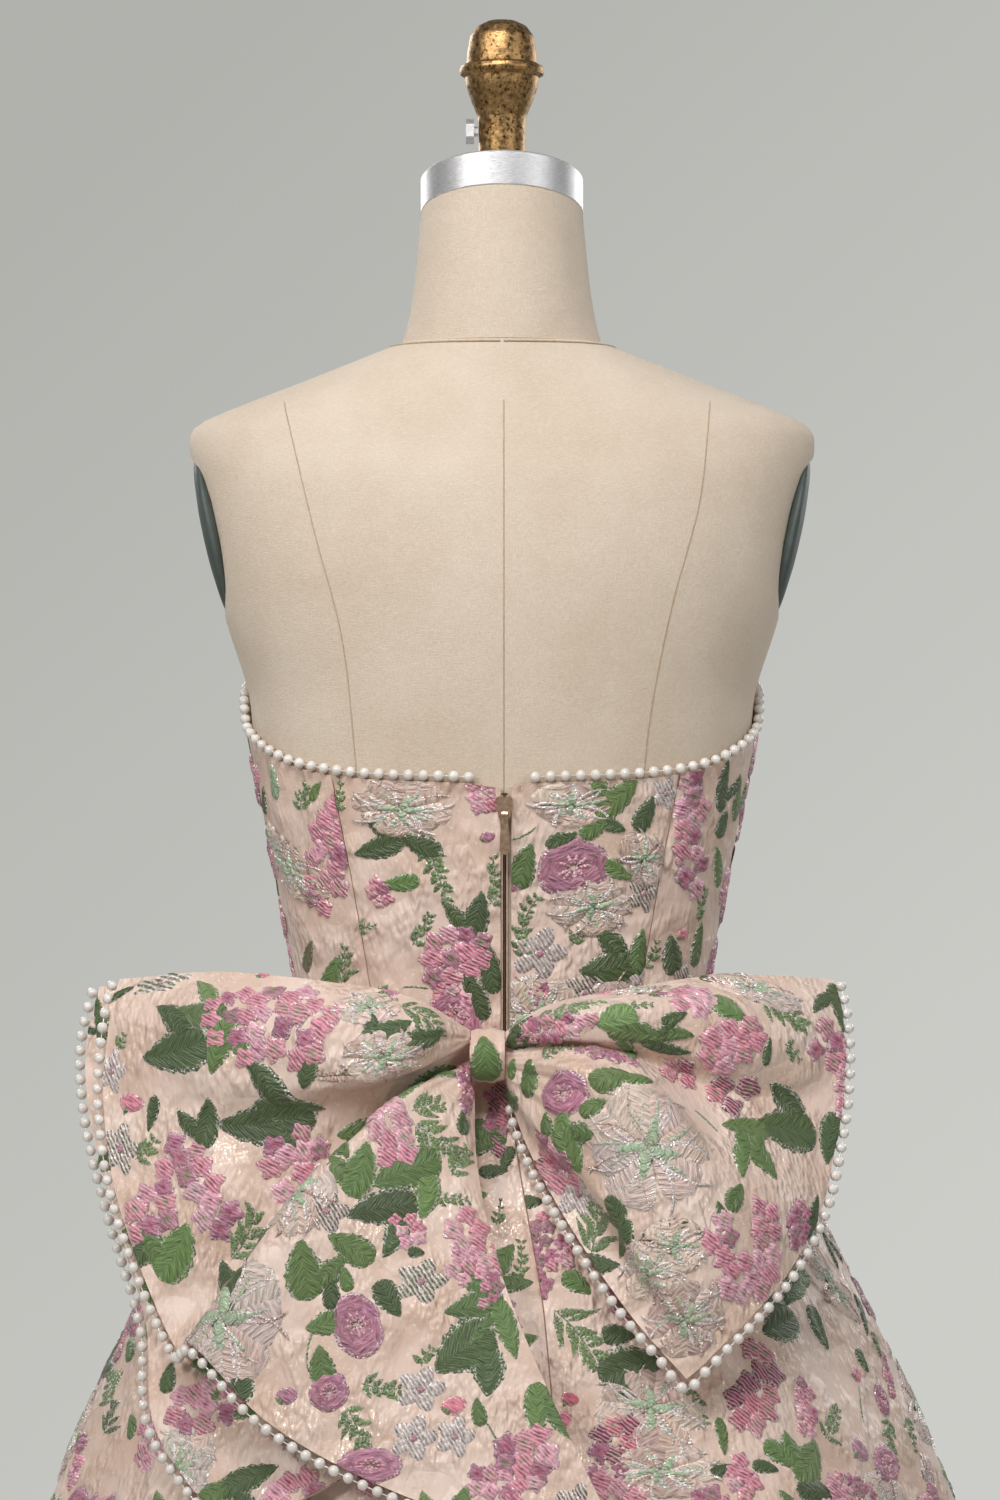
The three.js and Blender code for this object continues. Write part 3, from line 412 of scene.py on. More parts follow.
class Pattern:
    """Flat woven shapes in mm, each a small grid that swells over the cloth."""

    def __init__(self):
        self.parts = []
        self.count = 0

    def grid(self, xy, h, tint, stripe, metal, rim, thread):
        nu, nv, _ = xy.shape
        full = np.ones((nu, nv))
        colour = np.concatenate([np.broadcast_to(tint, (nu, nv, 3)), (metal * full)[..., None]], -1)
        mark = np.stack([stripe * full, rim, 0 * full, full], -1)
        self.parts.append((xy.reshape(-1, 2), (h * full).ravel(), colour.reshape(-1, 4), mark.reshape(-1, 4),
                           thread.reshape(-1, 2), grid_faces(nu, nv, start=self.count)))
        self.count += nu * nv

    def blade(self, x, y, heading, length, width, tint, ends=(0.55, 0.85), bend=0.0, height=0.9, layer=0.0,
              stripe=0.25, metal=0.0, rows=8, cols=5, slant=1.0, from_base=False, teeth=0.0):
        """A leaf, a petal or a stem: a strip along a bent middle line."""
        s, t = np.linspace(0, 1, rows), np.linspace(-1, 1, cols)
        turn = np.radians(heading + bend * (s - 0.5))
        step = np.stack([np.cos(turn), np.sin(turn)], -1) * length / (rows - 1)
        mid = np.cumsum(step, 0) - step[0]
        mid += np.array([x, y]) - (0 if from_base else mid[rows // 2])
        a, b = ends
        peak = (a / (a + b)) ** a * (b / (a + b)) ** b if a + b else 1
        half = width / 2 * np.maximum(s ** a * (1 - s) ** b / peak, 0.04)
        if teeth:
            half = half * (1 + teeth * np.sin(s * 43))
        side = np.stack([-np.sin(turn), np.cos(turn)], -1)
        xy = mid[:, None] + side[:, None] * (half[:, None] * t)[..., None]
        dome = np.sqrt(np.clip(1 - t ** 2, 0, 1)) * np.minimum(1, 5 * np.minimum(s, 1 - s) + 0.25)[:, None]
        if cols > 3 and ends[0] and width > 4:
            dome = dome - 0.35 * bell(t, 0.22)[None]
        edge = np.where((np.abs(t)[None] > 0.99) | (s[:, None] < 0.01) | (s[:, None] > 0.99), 1.0, 0.0)
        h = np.where(edge > 0, RIM_DIP, dome * height) + layer
        across = half[:, None] * t
        thread = np.stack([(s[:, None] * length + slant * np.abs(across)), across], -1)
        # The rim is darkened with painted shade where the raised blade dips into the cloth
        shade = (1 - BLADE_RIM_PAINTED_SHADE * edge)[..., None] * tint
        self.grid(xy, h, shade, stripe, metal, edge, thread)

    def disc(self, x, y, radius, tint, lobes=5, depth=0.3, height=0.8, layer=0.0, stripe=0.5, metal=0.0,
             squash=1.0, heading=0.0, rings=4, around=25, thread_angle=55, core=None):
        """A rounded flower or petal, with lobes round its edge."""
        k = np.linspace(0.02, 1, rings)[:, None]
        a = np.linspace(0, 2 * np.pi, around)[None]
        lobe = 0.5 - 0.5 * np.cos(lobes * a)
        r = radius * (1 - depth * lobe ** 0.9)
        r = r * (1 + 0.06 * np.sin(3 * a + x) + 0.05 * np.sin(2 * a + y))
        px, py = k * r * np.cos(a), k * r * np.sin(a) * squash
        c, s = cos_sin(heading)
        xy = np.stack([x + px * c - py * s, y + px * s + py * c], -1)
        edge = np.where(k > 0.99, 1.0, 0.0) + 0 * a
        dome = np.sqrt(np.clip(1 - k ** 2.6, 0, 1)) * (1 - 0.45 * bell(k, 0.22)) * (1 - 0.3 * lobe * k)
        h = np.where(edge > 0, RIM_DIP, dome * height) + layer
        # The rim is darkened with painted shade where the raised disc dips into the cloth
        shade = np.broadcast_to(tint, xy.shape[:2] + (3,)) * (1 - RIM_PAINTED_SHADE * edge)[..., None]
        if core is not None:
            shade = mix(shade, core, bell(k, 0.3)[..., None] * 0.9 + 0 * a[..., None])
        ca, sa = cos_sin(thread_angle)
        thread = np.stack([xy[..., 0] * ca + xy[..., 1] * sa, xy[..., 1] * ca - xy[..., 0] * sa], -1)
        self.grid(xy, h, shade, stripe, metal, edge, thread)

    def stretch(self, angle, along_x, along_y):
        """Stretches all that is drawn so far along a turned pair of axes."""
        c, s = cos_sin(angle)
        turn = np.array([[c, s], [-s, c]])
        how = turn.T @ np.diag([along_x, along_y]) @ turn
        self.parts = [(xy @ how.T, *rest) for xy, *rest in self.parts]

    def done(self):
        xy, h, tint, marks, thread, faces = (np.concatenate([p[k] for p in self.parts]) for k in range(6))
        return {"xy": xy, "h": h, "tint": tint, "marks": marks, "thread": thread, "faces": faces}


def vary(tint, amount=0.12):
    """The colour a little lighter or darker, and a little off in each channel."""
    lighter = np.asarray(tint) * (1 + amount * (2 * RNG.random() - 1))
    return np.clip(lighter * (1 + 0.04 * (2 * RNG.random(3) - 1)), 0, 1)


# A leaf wider than this has a smaller one beside it, and a rose with a larger radius has more petals
PAIRED_LEAF, FULL_ROSE = 24, 16
CLUSTER_TRIES, FLORET_PITCH = 300, 1.14


def draw_leaf(p, w, h, angle, tone):
    """A toothed leaf that ends in a point, and beside a large one a smaller one."""
    side = 1 if RNG.random() < 0.5 else -1
    p.blade(0, 0, angle, 1.3 * w, 1.2 * h, vary(PALETTE[tone], 0.2), ends=(0.5, 0.9),
            bend=side * RNG.uniform(8, 36), teeth=0.08, rows=14, cols=7, height=1.5, stripe=0.1)
    if w > PAIRED_LEAF:
        c, s = cos_sin(angle)
        x, y = -0.35 * w * c - side * 0.22 * h * s, -0.35 * w * s + side * 0.22 * h * c
        p.blade(x, y, angle + side * 58, 0.85 * w, 0.75 * h, vary(PALETTE[tone], 0.2), ends=(0.5, 0.9),
                bend=-side * 30, teeth=0.08, rows=12, cols=6, height=1.3, layer=0.25, stripe=0.1,
                from_base=True)


def draw_stem(p, w, h, angle, tone):
    p.blade(0, 0, angle, w, 1.7, PALETTE["green"], ends=(0, 0), bend=RNG.uniform(-50, 50), cols=3, height=0.5)


TONES = {"pink": ("pink", "light", "pink", "mauve"), "mauve": ("mauve", "mauve", "pink"),
         "light": ("light", "light", "pink"), "coral": ("coral", "pink", "crimson"),
         "crimson": ("crimson", "coral", "mauve")}


def draw_cluster(p, w, h, angle, tone):
    """Many small four or five-lobed florets packed in an oval."""
    size = min(8.0, max(4.8, min(w, h) * 0.27))
    c, s = cos_sin(angle)
    wide, tall = (max(side / 2 - size * 0.55, 0.5) for side in (w, h))
    spots = []
    for _ in range(CLUSTER_TRIES):
        r, a = math.sqrt(RNG.random()), RNG.random() * 2 * math.pi
        x, y = r * math.cos(a) * wide, r * math.sin(a) * tall
        if all((x - q[0]) ** 2 + (y - q[1]) ** 2 > (FLORET_PITCH * size) ** 2 for q in spots):
            spots.append((x, y))
    for k, (x, y) in enumerate(spots):
        name = TONES[tone][RNG.integers(len(TONES[tone]))]
        threads = 0.12 if name == "mauve" else 0.7
        p.disc(x * c - y * s, x * s + y * c, size * RNG.uniform(0.95, 1.15), vary(PALETTE[name], 0.16),
               lobes=int(RNG.integers(4, 6)), depth=0.3, height=1.7, layer=0.22 * (k % 4), stripe=threads,
               heading=RNG.uniform(0, 90), rings=4, around=25, thread_angle=RNG.uniform(42, 72),
               core=PALETTE["green"] if k % 3 == 0 else PALETTE["crimson"] * 1.5)


def draw_peony(p, w, h, angle, tone):
    r = min(w, h) / 2
    for k in range(6):
        a = math.radians(60 * k + RNG.uniform(-12, 12))
        p.disc(0.5 * r * math.cos(a), 0.5 * r * math.sin(a), 0.6 * r, vary(PALETTE[tone], 0.18), lobes=2,
               depth=0.16, height=1.6, layer=0.15 * (k % 3), stripe=0.1, squash=0.85,
               heading=math.degrees(a) + 90, around=24, thread_angle=math.degrees(a))
    for k in range(9):
        a = math.radians(40 * k + RNG.uniform(-9, 9))
        p.blade(0.1 * r * math.cos(a), 0.1 * r * math.sin(a), math.degrees(a), 0.36 * r, 0.13 * r,
                vary(PALETTE["light" if k % 2 else "pink"]), ends=(0.5, 0.3), height=1.0, layer=1.1,
                stripe=0.9, metal=0.2, rows=5, cols=4, from_base=True)
    p.stretch(angle, w / 2 / r, h / 2 / r)


def draw_rose(p, w, h, angle, tone):
    """A large pale rose: crumpled petals in ground colour, edged with metal thread and streaked with sage."""
    w, h = 1.22 * w, 1.22 * h
    r = min(w, h) / 2
    count = 7 if r > FULL_ROSE else 5
    for k in range(count):
        a = 360 / count * k + RNG.uniform(-14, 14)
        ca, sa = cos_sin(a)
        long = r * RNG.uniform(0.86, 1.05)
        wide = r * 0.84 * 6 / count
        tint = PALETTE["blush"] if RNG.random() < 0.6 else mix(PALETTE["blush"], PALETTE[tone], 0.4) * 0.92
        p.blade(0.1 * r * ca, 0.1 * r * sa, a, long * 0.92, wide, vary(tint), ends=(0.7, 0.3), height=1.5,
                layer=0.2 * (k % 3), stripe=0.1, rows=9, cols=7, from_base=True, teeth=0.06)
        for side in (-1, 1):
            metal = PALETTE["silver" if RNG.random() < 0.5 else "gold"]
            p.blade(0.1 * r * ca, 0.1 * r * sa, a + side * 46, long * 1.08, 1.9, metal, ends=(0.2, 0.3),
                    bend=-side * 88, height=1.0, layer=1.0 + 0.1 * (k % 3), stripe=0.8, metal=1.0, rows=10,
                    cols=3, from_base=True)
            turn = a + side * RNG.uniform(8, 22)
            reach = long * RNG.uniform(0.4, 0.66)
            name, shine = ("sage", 0.0) if side > 0 else ("silver", 0.9)
            p.blade(0.22 * r * ca, 0.22 * r * sa, turn, reach, 2.6, vary(PALETTE[name]), ends=(0.5, 0.6),
                    bend=side * 14, layer=1.3, stripe=0.7, metal=shine, rows=6, cols=3, from_base=True)
    for k in range(4):
        a = 90 * k + RNG.uniform(-20, 20)
        p.blade(0, 0, a, 0.5 * r, 0.2 * r, vary(PALETTE["sage"]), ends=(0.4, 0.6), bend=40, height=1.2,
                layer=1.5, stripe=0.4, rows=6, cols=4, from_base=True)
    p.stretch(angle, w / 2 / r, h / 2 / r)


def draw_fern(p, w, h, angle, tone):
    """A sprig: a bent stem with short pointed leaflets."""
    bend = RNG.uniform(-60, 60)
    c, s = cos_sin(angle)
    p.blade(0, 0, angle, w, 1.4, PALETTE["green"], ends=(0, 0), bend=bend, rows=9, cols=3, height=0.6)
    count = max(3, int(w / 4.2))
    for k in range(count):
        t = (k + 0.5) / count - 0.5
        x, y = w * t, w * math.radians(bend) / 2 * t * t
        for side in (-1, 1):
            reach = h * 0.62 * (1.1 - t) * RNG.uniform(0.6, 1.2)
            p.blade(x * c - y * s, x * s + y * c, angle + bend * t + side * RNG.uniform(28, 66), reach,
                    min(4.6, 0.55 * reach), vary(PALETTE[tone], 0.25), ends=(0.35, 0.8), rows=5, cols=4,
                    layer=0.1, stripe=0.2, from_base=True)


def draw_daisy(p, w, h, angle, tone):
    r = min(w, h) / 2
    for k in range(5):
        a = math.radians(72 * k)
        p.disc(0.58 * r * math.cos(a), 0.58 * r * math.sin(a), 0.54 * r,
               mix(PALETTE[tone], PALETTE["olive"], 0.55), lobes=2, depth=0.12, height=1.1,
               layer=0.12 * (k % 2), stripe=1.3, metal=0.5, squash=0.86, heading=math.degrees(a), around=16,
               thread_angle=30)
    p.disc(0, 0, 0.2 * r, PALETTE["mauve"], lobes=5, height=0.8, layer=0.9, stripe=0.3, rings=3, around=12)
    p.stretch(angle, w / 2 / r, h / 2 / r)


def draw_bud(p, w, h, angle, tone):
    p.disc(0, 0, w / 2, vary(PALETTE[tone]), lobes=2, depth=0.14, height=1.1, stripe=0.2, squash=h / w,
           heading=angle)
    p.blade(-0.3 * w, -0.2 * h, angle + 150, 0.55 * w, 0.3 * w, PALETTE["green"], rows=5, cols=4, layer=0.2)


DRAW = {"leaf": draw_leaf, "stem": draw_stem, "cluster": draw_cluster, "peony": draw_peony, "rose": draw_rose,
        "fern": draw_fern, "daisy": draw_daisy, "bud": draw_bud}

# What shows in the photograph, read in its pixels: kind, across, down, width, height, angle, tone
SEEN = {
    "bodice, left": """
        leaf 314 789 20 10 60 green, fern 300 800 26 16 80 green, cluster 325 860 55 120 -12 pink,
        cluster 377 892 26 30 0 pink, rose 290 868 44 105 70 gold, leaf 274 780 30 14 100 sage,
        leaf 308 953 32 15 70 olive, fern 344 969 34 20 80 green, fern 342 795 34 14 85 green,
        rose 400 812 88 52 0 gold, leaf 377 851 46 22 200 dark, leaf 420 846 38 20 160 dark,
        fern 438 880 60 16 -70 green, leaf 401 882 32 16 190 green, fern 420 928 32 16 60 green,
        leaf 479 915 42 24 75 dark, leaf 487 966 42 22 100 dark, cluster 453 956 75 58 15 pink,
        bud 392 983 24 18 20 mauve, stem 416 988 30 2 0 green, cluster 451 1000 46 34 -30 pink,
        leaf 473 995 44 22 110 dark, cluster 479 795 30 42 0 light, bud 489 839 16 14 0 mauve,
        fern 492 869 28 14 90 green, fern 366 930 24 12 20 fresh, leaf 263 800 26 10 95 dark,
        bud 268 960 16 14 0 pink""",
    "bodice, right": """
        rose 572 806 72 38 0 gold, leaf 616 799 50 26 35 green, leaf 648 815 32 20 60 dark,
        daisy 664 792 30 32 20 silver, cluster 690 832 44 128 4 pink, leaf 722 785 44 18 80 dark,
        leaf 737 796 40 15 75 green, leaf 723 822 24 18 60 dark, leaf 718 864 38 16 95 green,
        stem 527 834 36 2 20 green, leaf 562 837 28 15 20 dark, leaf 594 826 28 18 30 green,
        leaf 614 828 22 14 340 dark, leaf 525 862 40 24 75 green, peony 575 868 84 64 10 mauve,
        bud 514 882 22 26 90 mauve, leaf 618 871 32 16 330 green, rose 643 856 44 50 30 gold,
        daisy 645 894 32 38 0 olive, fern 500 888 34 14 60 green, fern 524 928 56 18 80 green,
        rose 593 908 74 50 0 blush, fern 580 936 22 12 45 green, daisy 537 956 54 48 10 silver,
        daisy 522 992 40 34 30 silver, leaf 607 967 50 34 190 dark, leaf 637 948 40 20 80 green,
        fern 652 958 28 14 60 green, leaf 672 955 34 24 100 dark, leaf 696 940 38 18 75 green,
        bud 683 935 16 14 0 pink, cluster 544 996 32 24 20 pink, fern 702 905 30 14 70 green""",
    "bow, left upper lobe": """
        daisy 162 984 60 24 0 green, cluster 272 1020 136 92 -12 pink, leaf 193 1017 56 28 172 green,
        leaf 173 1053 64 42 196 dark, leaf 216 1050 50 28 250 green, leaf 306 1076 28 20 255 dark,
        rose 367 1006 64 44 0 silver, rose 386 1056 74 46 10 gold, fern 424 1015 46 30 330 green,
        leaf 388 1032 46 24 25 dark, leaf 426 1039 40 20 10 dark, leaf 97 1016 44 12 100 dark,
        fern 121 1040 16 12 60 green, leaf 124 994 26 8 20 dark, stem 232 1026 24 2 0 green,
        fern 340 1076 46 14 5 gold""",
    "bow, left lower lobe": """
        leaf 262 1124 84 42 190 dark, leaf 211 1121 42 24 80 dark, leaf 290 1105 60 18 5 dark,
        cluster 184 1166 54 60 20 pink, cluster 150 1212 52 64 -20 pink, cluster 212 1206 48 60 30 pink,
        cluster 298 1172 66 88 20 pink, bud 128 1104 20 34 90 pink, daisy 115 1072 30 42 0 silver,
        daisy 124 1146 36 50 10 olive, leaf 149 1114 30 12 260 dark, fern 146 1150 26 18 40 green,
        fern 246 1240 46 34 60 green, leaf 175 1250 50 40 60 green, leaf 144 1250 30 22 45 dark,
        leaf 155 1284 34 26 30 green, rose 222 1318 128 110 40 silver, leaf 241 1396 30 26 250 dark,
        cluster 392 1130 56 76 10 light, fern 426 1106 32 24 20 green, fern 440 1140 52 28 330 green,
        fern 459 1162 32 26 60 green, cluster 466 1086 26 60 0 mauve, leaf 464 1122 22 15 90 dark,
        leaf 404 1171 62 38 205 green, leaf 362 1168 48 32 70 green, leaf 380 1207 60 34 190 dark,
        fern 440 1200 52 16 5 green, cluster 408 1233 30 42 40 pink, leaf 415 1250 14 11 0 dark,
        daisy 325 1214 46 42 0 olive, leaf 302 1267 50 36 100 green, leaf 347 1245 42 28 150 green,
        leaf 328 1291 28 16 90 dark, leaf 342 1279 20 13 100 green, peony 356 1328 56 74 20 mauve,
        leaf 320 1325 30 22 200 green, leaf 387 1299 34 24 300 dark, daisy 422 1282 52 42 15 green,
        cluster 467 1226 42 48 0 light, cluster 470 1264 44 36 0 light, cluster 502 1264 22 96 -16 mauve,
        leaf 470 1307 50 28 200 green, leaf 466 1350 58 48 215 dark, leaf 505 1332 54 22 290 green,
        fern 422 1358 20 16 60 green, stem 305 1353 46 2 260 green, leaf 320 1366 34 24 100 green,
        bud 291 1396 24 22 0 mauve, peony 330 1396 46 42 40 mauve, fern 379 1389 36 20 350 green,
        daisy 420 1391 48 42 10 silver, daisy 412 1436 46 42 30 silver, daisy 452 1438 38 40 0 silver,
        bud 453 1409 26 24 0 pink, leaf 478 1414 24 14 100 green, fern 356 1430 44 22 290 green,
        peony 366 1466 74 40 0 mauve, leaf 292 1468 34 22 20 dark, cluster 522 1452 56 56 0 pink,
        cluster 500 1482 70 36 0 pink, leaf 539 1412 48 24 270 green, leaf 566 1419 54 24 300 green,
        stem 490 1436 36 2 300 green""",
    "bow, right upper lobe": """
        fern 566 1010 60 18 8 fresh, cluster 552 1028 86 30 10 pink, leaf 616 1019 34 32 200 fresh,
        leaf 640 1033 52 24 350 green, leaf 673 1033 36 15 0 green, leaf 674 1016 24 12 20 dark,
        fern 640 1004 22 10 10 green, rose 640 988 46 16 5 silver, bud 661 995 26 16 0 mauve,
        cluster 690 1000 44 50 0 light, leaf 708 980 18 10 0 dark, leaf 731 1008 36 26 330 green,
        rose 760 990 90 38 350 silver, fern 782 1013 46 26 345 green, leaf 844 1010 46 20 285 dark,
        cluster 732 1046 76 56 10 pink, leaf 770 1051 24 9 80 dark, fern 792 1052 24 14 320 green,
        cluster 834 1046 52 56 30 pink, cluster 845 1092 22 48 0 light, cluster 680 1076 42 38 20 coral,
        cluster 729 1094 56 44 0 coral, leaf 664 1049 44 14 340 dark""",
    "bow, right middle and lower lobes": """
        fern 558 1049 36 14 10 green, cluster 606 1054 60 22 -15 mauve, leaf 611 1077 36 28 20 green,
        leaf 638 1078 28 14 10 green, peony 564 1092 64 52 10 mauve, leaf 513 1067 20 10 80 green,
        leaf 531 1076 36 22 80 green, leaf 593 1106 26 18 20 green, leaf 546 1122 20 15 90 green,
        leaf 564 1122 26 20 80 fresh, leaf 569 1153 44 32 300 green, stem 618 1094 30 2 60 green,
        rose 648 1150 112 112 20 silver, leaf 744 1126 46 24 190 green, leaf 787 1130 58 44 190 dark,
        leaf 757 1156 52 28 320 green, leaf 829 1140 46 24 255 dark, stem 707 1122 34 2 330 green,
        leaf 735 1194 28 20 60 green, leaf 723 1210 20 11 120 dark, cluster 725 1238 46 54 0 pink,
        cluster 764 1226 44 52 0 pink, cluster 798 1226 30 46 -20 mauve, cluster 752 1274 80 52 15 pink,
        leaf 816 1216 40 14 75 dark, rose 676 1250 58 46 0 gold, rose 648 1272 70 58 20 silver,
        leaf 667 1228 46 16 20 dark, rose 686 1322 74 66 30 gold, leaf 616 1212 32 24 300 dark,
        fern 596 1229 44 34 80 green, leaf 624 1240 46 22 270 dark, daisy 580 1192 46 52 20 silver,
        cluster 546 1164 28 26 0 coral, leaf 531 1197 20 14 0 dark""",
    "skirt under the bow": """
        cluster 494 1118 28 74 0 crimson, leaf 495 1175 24 14 10 dark, leaf 506 1160 26 12 250 dark,
        fern 502 1209 28 10 80 green, cluster 541 1250 26 84 0 mauve, cluster 562 1258 26 30 0 pink,
        fern 521 1268 44 14 85 green, leaf 600 1265 36 20 350 dark, leaf 577 1284 28 20 330 green,
        fern 576 1338 64 34 310 green, leaf 619 1330 28 20 0 dark, leaf 635 1362 56 42 20 dark,
        cluster 612 1446 44 80 -20 crimson, bud 573 1400 16 22 90 coral, rose 652 1410 76 92 80 gold,
        rose 663 1476 100 50 0 gold, fern 698 1404 36 14 290 green, leaf 721 1438 32 11 280 green,
        leaf 719 1473 22 13 20 dark, cluster 739 1476 34 44 20 pink, cluster 752 1404 62 56 20 coral,
        cluster 765 1362 46 50 0 coral, leaf 776 1322 46 36 220 dark, leaf 788 1290 34 22 240 dark,
        leaf 780 1454 30 20 330 green, leaf 767 1472 24 13 0 dark, cluster 803 1404 32 66 0 pink,
        leaf 809 1466 46 36 60 green, fern 832 1424 40 20 60 green, leaf 819 1488 46 24 10 dark,
        rose 830 1284 44 96 80 gold, leaf 833 1250 40 9 300 dark, leaf 863 1316 40 10 295 dark,
        leaf 819 1330 40 22 300 dark, leaf 876 1344 24 9 300 green, leaf 863 1367 22 13 310 dark,
        bud 856 1370 20 20 30 pink, cluster 889 1378 20 50 20 mauve, peony 880 1400 28 38 20 mauve,
        stem 859 1402 42 2 275 green, bud 861 1449 26 36 90 mauve, peony 884 1460 56 44 30 mauve,
        fern 891 1440 44 18 280 green, fern 914 1436 34 14 300 green, daisy 928 1472 28 40 10 gold,
        cluster 858 1488 60 24 0 mauve, leaf 127 1350 28 18 100 green, fern 109 1386 46 24 100 green,
        fern 111 1418 32 24 60 dark, leaf 132 1430 24 15 90 green, cluster 117 1342 16 42 -20 pink,
        cluster 78 1462 26 54 -20 pink, leaf 79 1436 18 12 100 green, cluster 202 1404 88 50 10 pink,
        leaf 167 1376 26 17 80 dark, rose 172 1468 82 66 60 silver, leaf 252 1475 56 26 20 dark,
        leaf 216 1491 34 24 30 green""",
}
# What is scattered where the photograph doesn't show: kind, width, height, tone, share
HIDDEN = rows_of("""
    cluster 50 44 pink 16, cluster 30 34 mauve 6, leaf 40 20 dark 14, leaf 32 18 green 14,
    rose 70 60 silver 6, rose 54 46 gold 4, peony 44 38 mauve 7, fern 34 18 green 13, daisy 32 30 silver 6,
    daisy 30 28 olive 4, bud 16 14 pink 6, cluster 24 26 light 4""")
SPREAD = 31

# Camera of the photograph
CAMERA = np.array([-1.2, -2600.0, 1210.8])
LENS, SENSOR = 102.3, 36.0
PHOTO_W, PHOTO_H = 1000, 1500


def to_photo(points):
    d = points - CAMERA
    scale = LENS / SENSOR * PHOTO_H / d[..., 1]
    return np.stack([PHOTO_W / 2 + d[..., 0] * scale, PHOTO_H / 2 - d[..., 2] * scale], -1)


# Materials
BLUSH_DARK, BLUSH_LIGHT = rgb(222, 190, 170), rgb(242, 217, 202)
GOLD_THREAD, PALE_THREAD = rgb(250, 226, 204), rgb(255, 240, 225)
PINK_THREAD, SILVER_THREAD = rgb(250, 226, 230), rgb(255, 246, 238)
LINEN_DARK, LINEN_LIGHT = rgb(216, 196, 174), rgb(230, 213, 194)
SLUB_LIGHT, SLUB_DARK = rgb(240, 228, 210), rgb(192, 170, 142)
SPECKLE = rgb(40, 30, 22)
PEARL_DARK, PEARL_LIGHT = rgb(230, 222, 214), rgb(246, 240, 233)


def put(tree, kind, sockets=(), **settings):
    node = tree.nodes.new("ShaderNode" + kind)
    for key, value in settings.items():
        setattr(node, key, value)
    for key, value in dict(sockets).items():
        if isinstance(value, bpy.types.NodeSocket):
            tree.links.new(value, node.inputs[key])
        else:
            node.inputs[key].default_value = value
    return node


def start_material(name, **sockets):
    material = bpy.data.materials.new(name)
    material.use_nodes = True
    shader = material.node_tree.nodes["Principled BSDF"]
    for key, value in sockets.items():
        shader.inputs[key.replace("_", " ")].default_value = value
    return material, material.node_tree, shader


def wire(tree, shader, **sockets):
    for key, value in sockets.items():
        tree.links.new(value, shader.inputs[key.replace("_", " ")])


def where(tree):
    return put(tree, "TexCoord").outputs["Object"]


def noise(tree, at, scale, detail=2.0, rough=0.5):
    sockets = {"Vector": at, "Scale": scale, "Detail": detail, "Roughness": rough}
    return put(tree, "TexNoise", sockets).outputs[0]


def calc(tree, operation, a, b=0.0, clamp=False):
    return put(tree, "Math", {0: a, 1: b}, operation=operation, use_clamp=clamp).outputs[0]


def times(tree, a, b):
    return calc(tree, "MULTIPLY", a, b)


def span(tree, value, low, high, to_low=0.0, to_high=1.0):
    return put(tree, "MapRange", {0: value, 1: low, 2: high, 3: to_low, 4: to_high}, clamp=True).outputs[0]


def blend(tree, share, a, b, how="MIX"):
    a, b = ((*v, 1.0) if isinstance(v, (tuple, np.ndarray)) and len(v) == 3 else v for v in (a, b))
    return put(tree, "Mix", {0: share, 6: a, 7: b}, data_type="RGBA", blend_type=how).outputs[2]


def bump(tree, height, strength, distance, under=None):
    sockets = {"Height": height, "Strength": strength, "Distance": distance}
    if under is not None:
        sockets["Normal"] = under
    return put(tree, "Bump", sockets).outputs[0]


def stretched(tree, at, scale, turn=(0, 0, 0)):
    return put(tree, "Mapping", {"Vector": at, "Rotation": turn, "Scale": scale}).outputs[0]


def ground_material():
    """Blush satin: soft tone changes, crinkles, fine weave, and patches with gold thread in them."""
    material, tree, shader = start_material(
        "brocade_ground", Sheen_Weight=0.2, Sheen_Roughness=0.4, Specular_IOR_Level=0.65)
    at = where(tree)
    tone = span(tree, noise(tree, at, 22), 0.36, 0.66)
    base = blend(tree, tone, BLUSH_DARK, BLUSH_LIGHT)
    region = span(tree, noise(tree, at, 30), 0.55, 0.63)
    fleck = span(tree, noise(tree, at, 900, 1), 0.54, 0.66)
    spark = times(tree, region, fleck)
    base = blend(tree, times(tree, spark, 0.9), base, GOLD_THREAD)
    rare = span(tree, noise(tree, at, 620, 0), 0.72, 0.76)
    base = blend(tree, times(tree, rare, 0.5), base, PALE_THREAD)
    wire(tree, shader, Base_Color=base)
    wire(tree, shader, Roughness=span(tree, spark, 0, 1, 0.42, 0.28))
    wire(tree, shader, Metallic=times(tree, spark, 0.45))
    wide = bump(tree, noise(tree, at, 38, 1), 0.5, 0.006)
    pucker = times(tree, noise(tree, stretched(tree, at, (1, 1, 0.45), (0.3, 0.5, 0.5)), 230, 1),
                  span(tree, noise(tree, at, 34, 1), 0.4, 0.6, 0.15, 1.0))
    crinkle = bump(tree, pucker, 0.9, 0.005, wide)
    weave = bump(tree, noise(tree, at, 1500, 1), 0.18, 0.0005, crinkle)
    wire(tree, shader, Normal=weave)
    return material


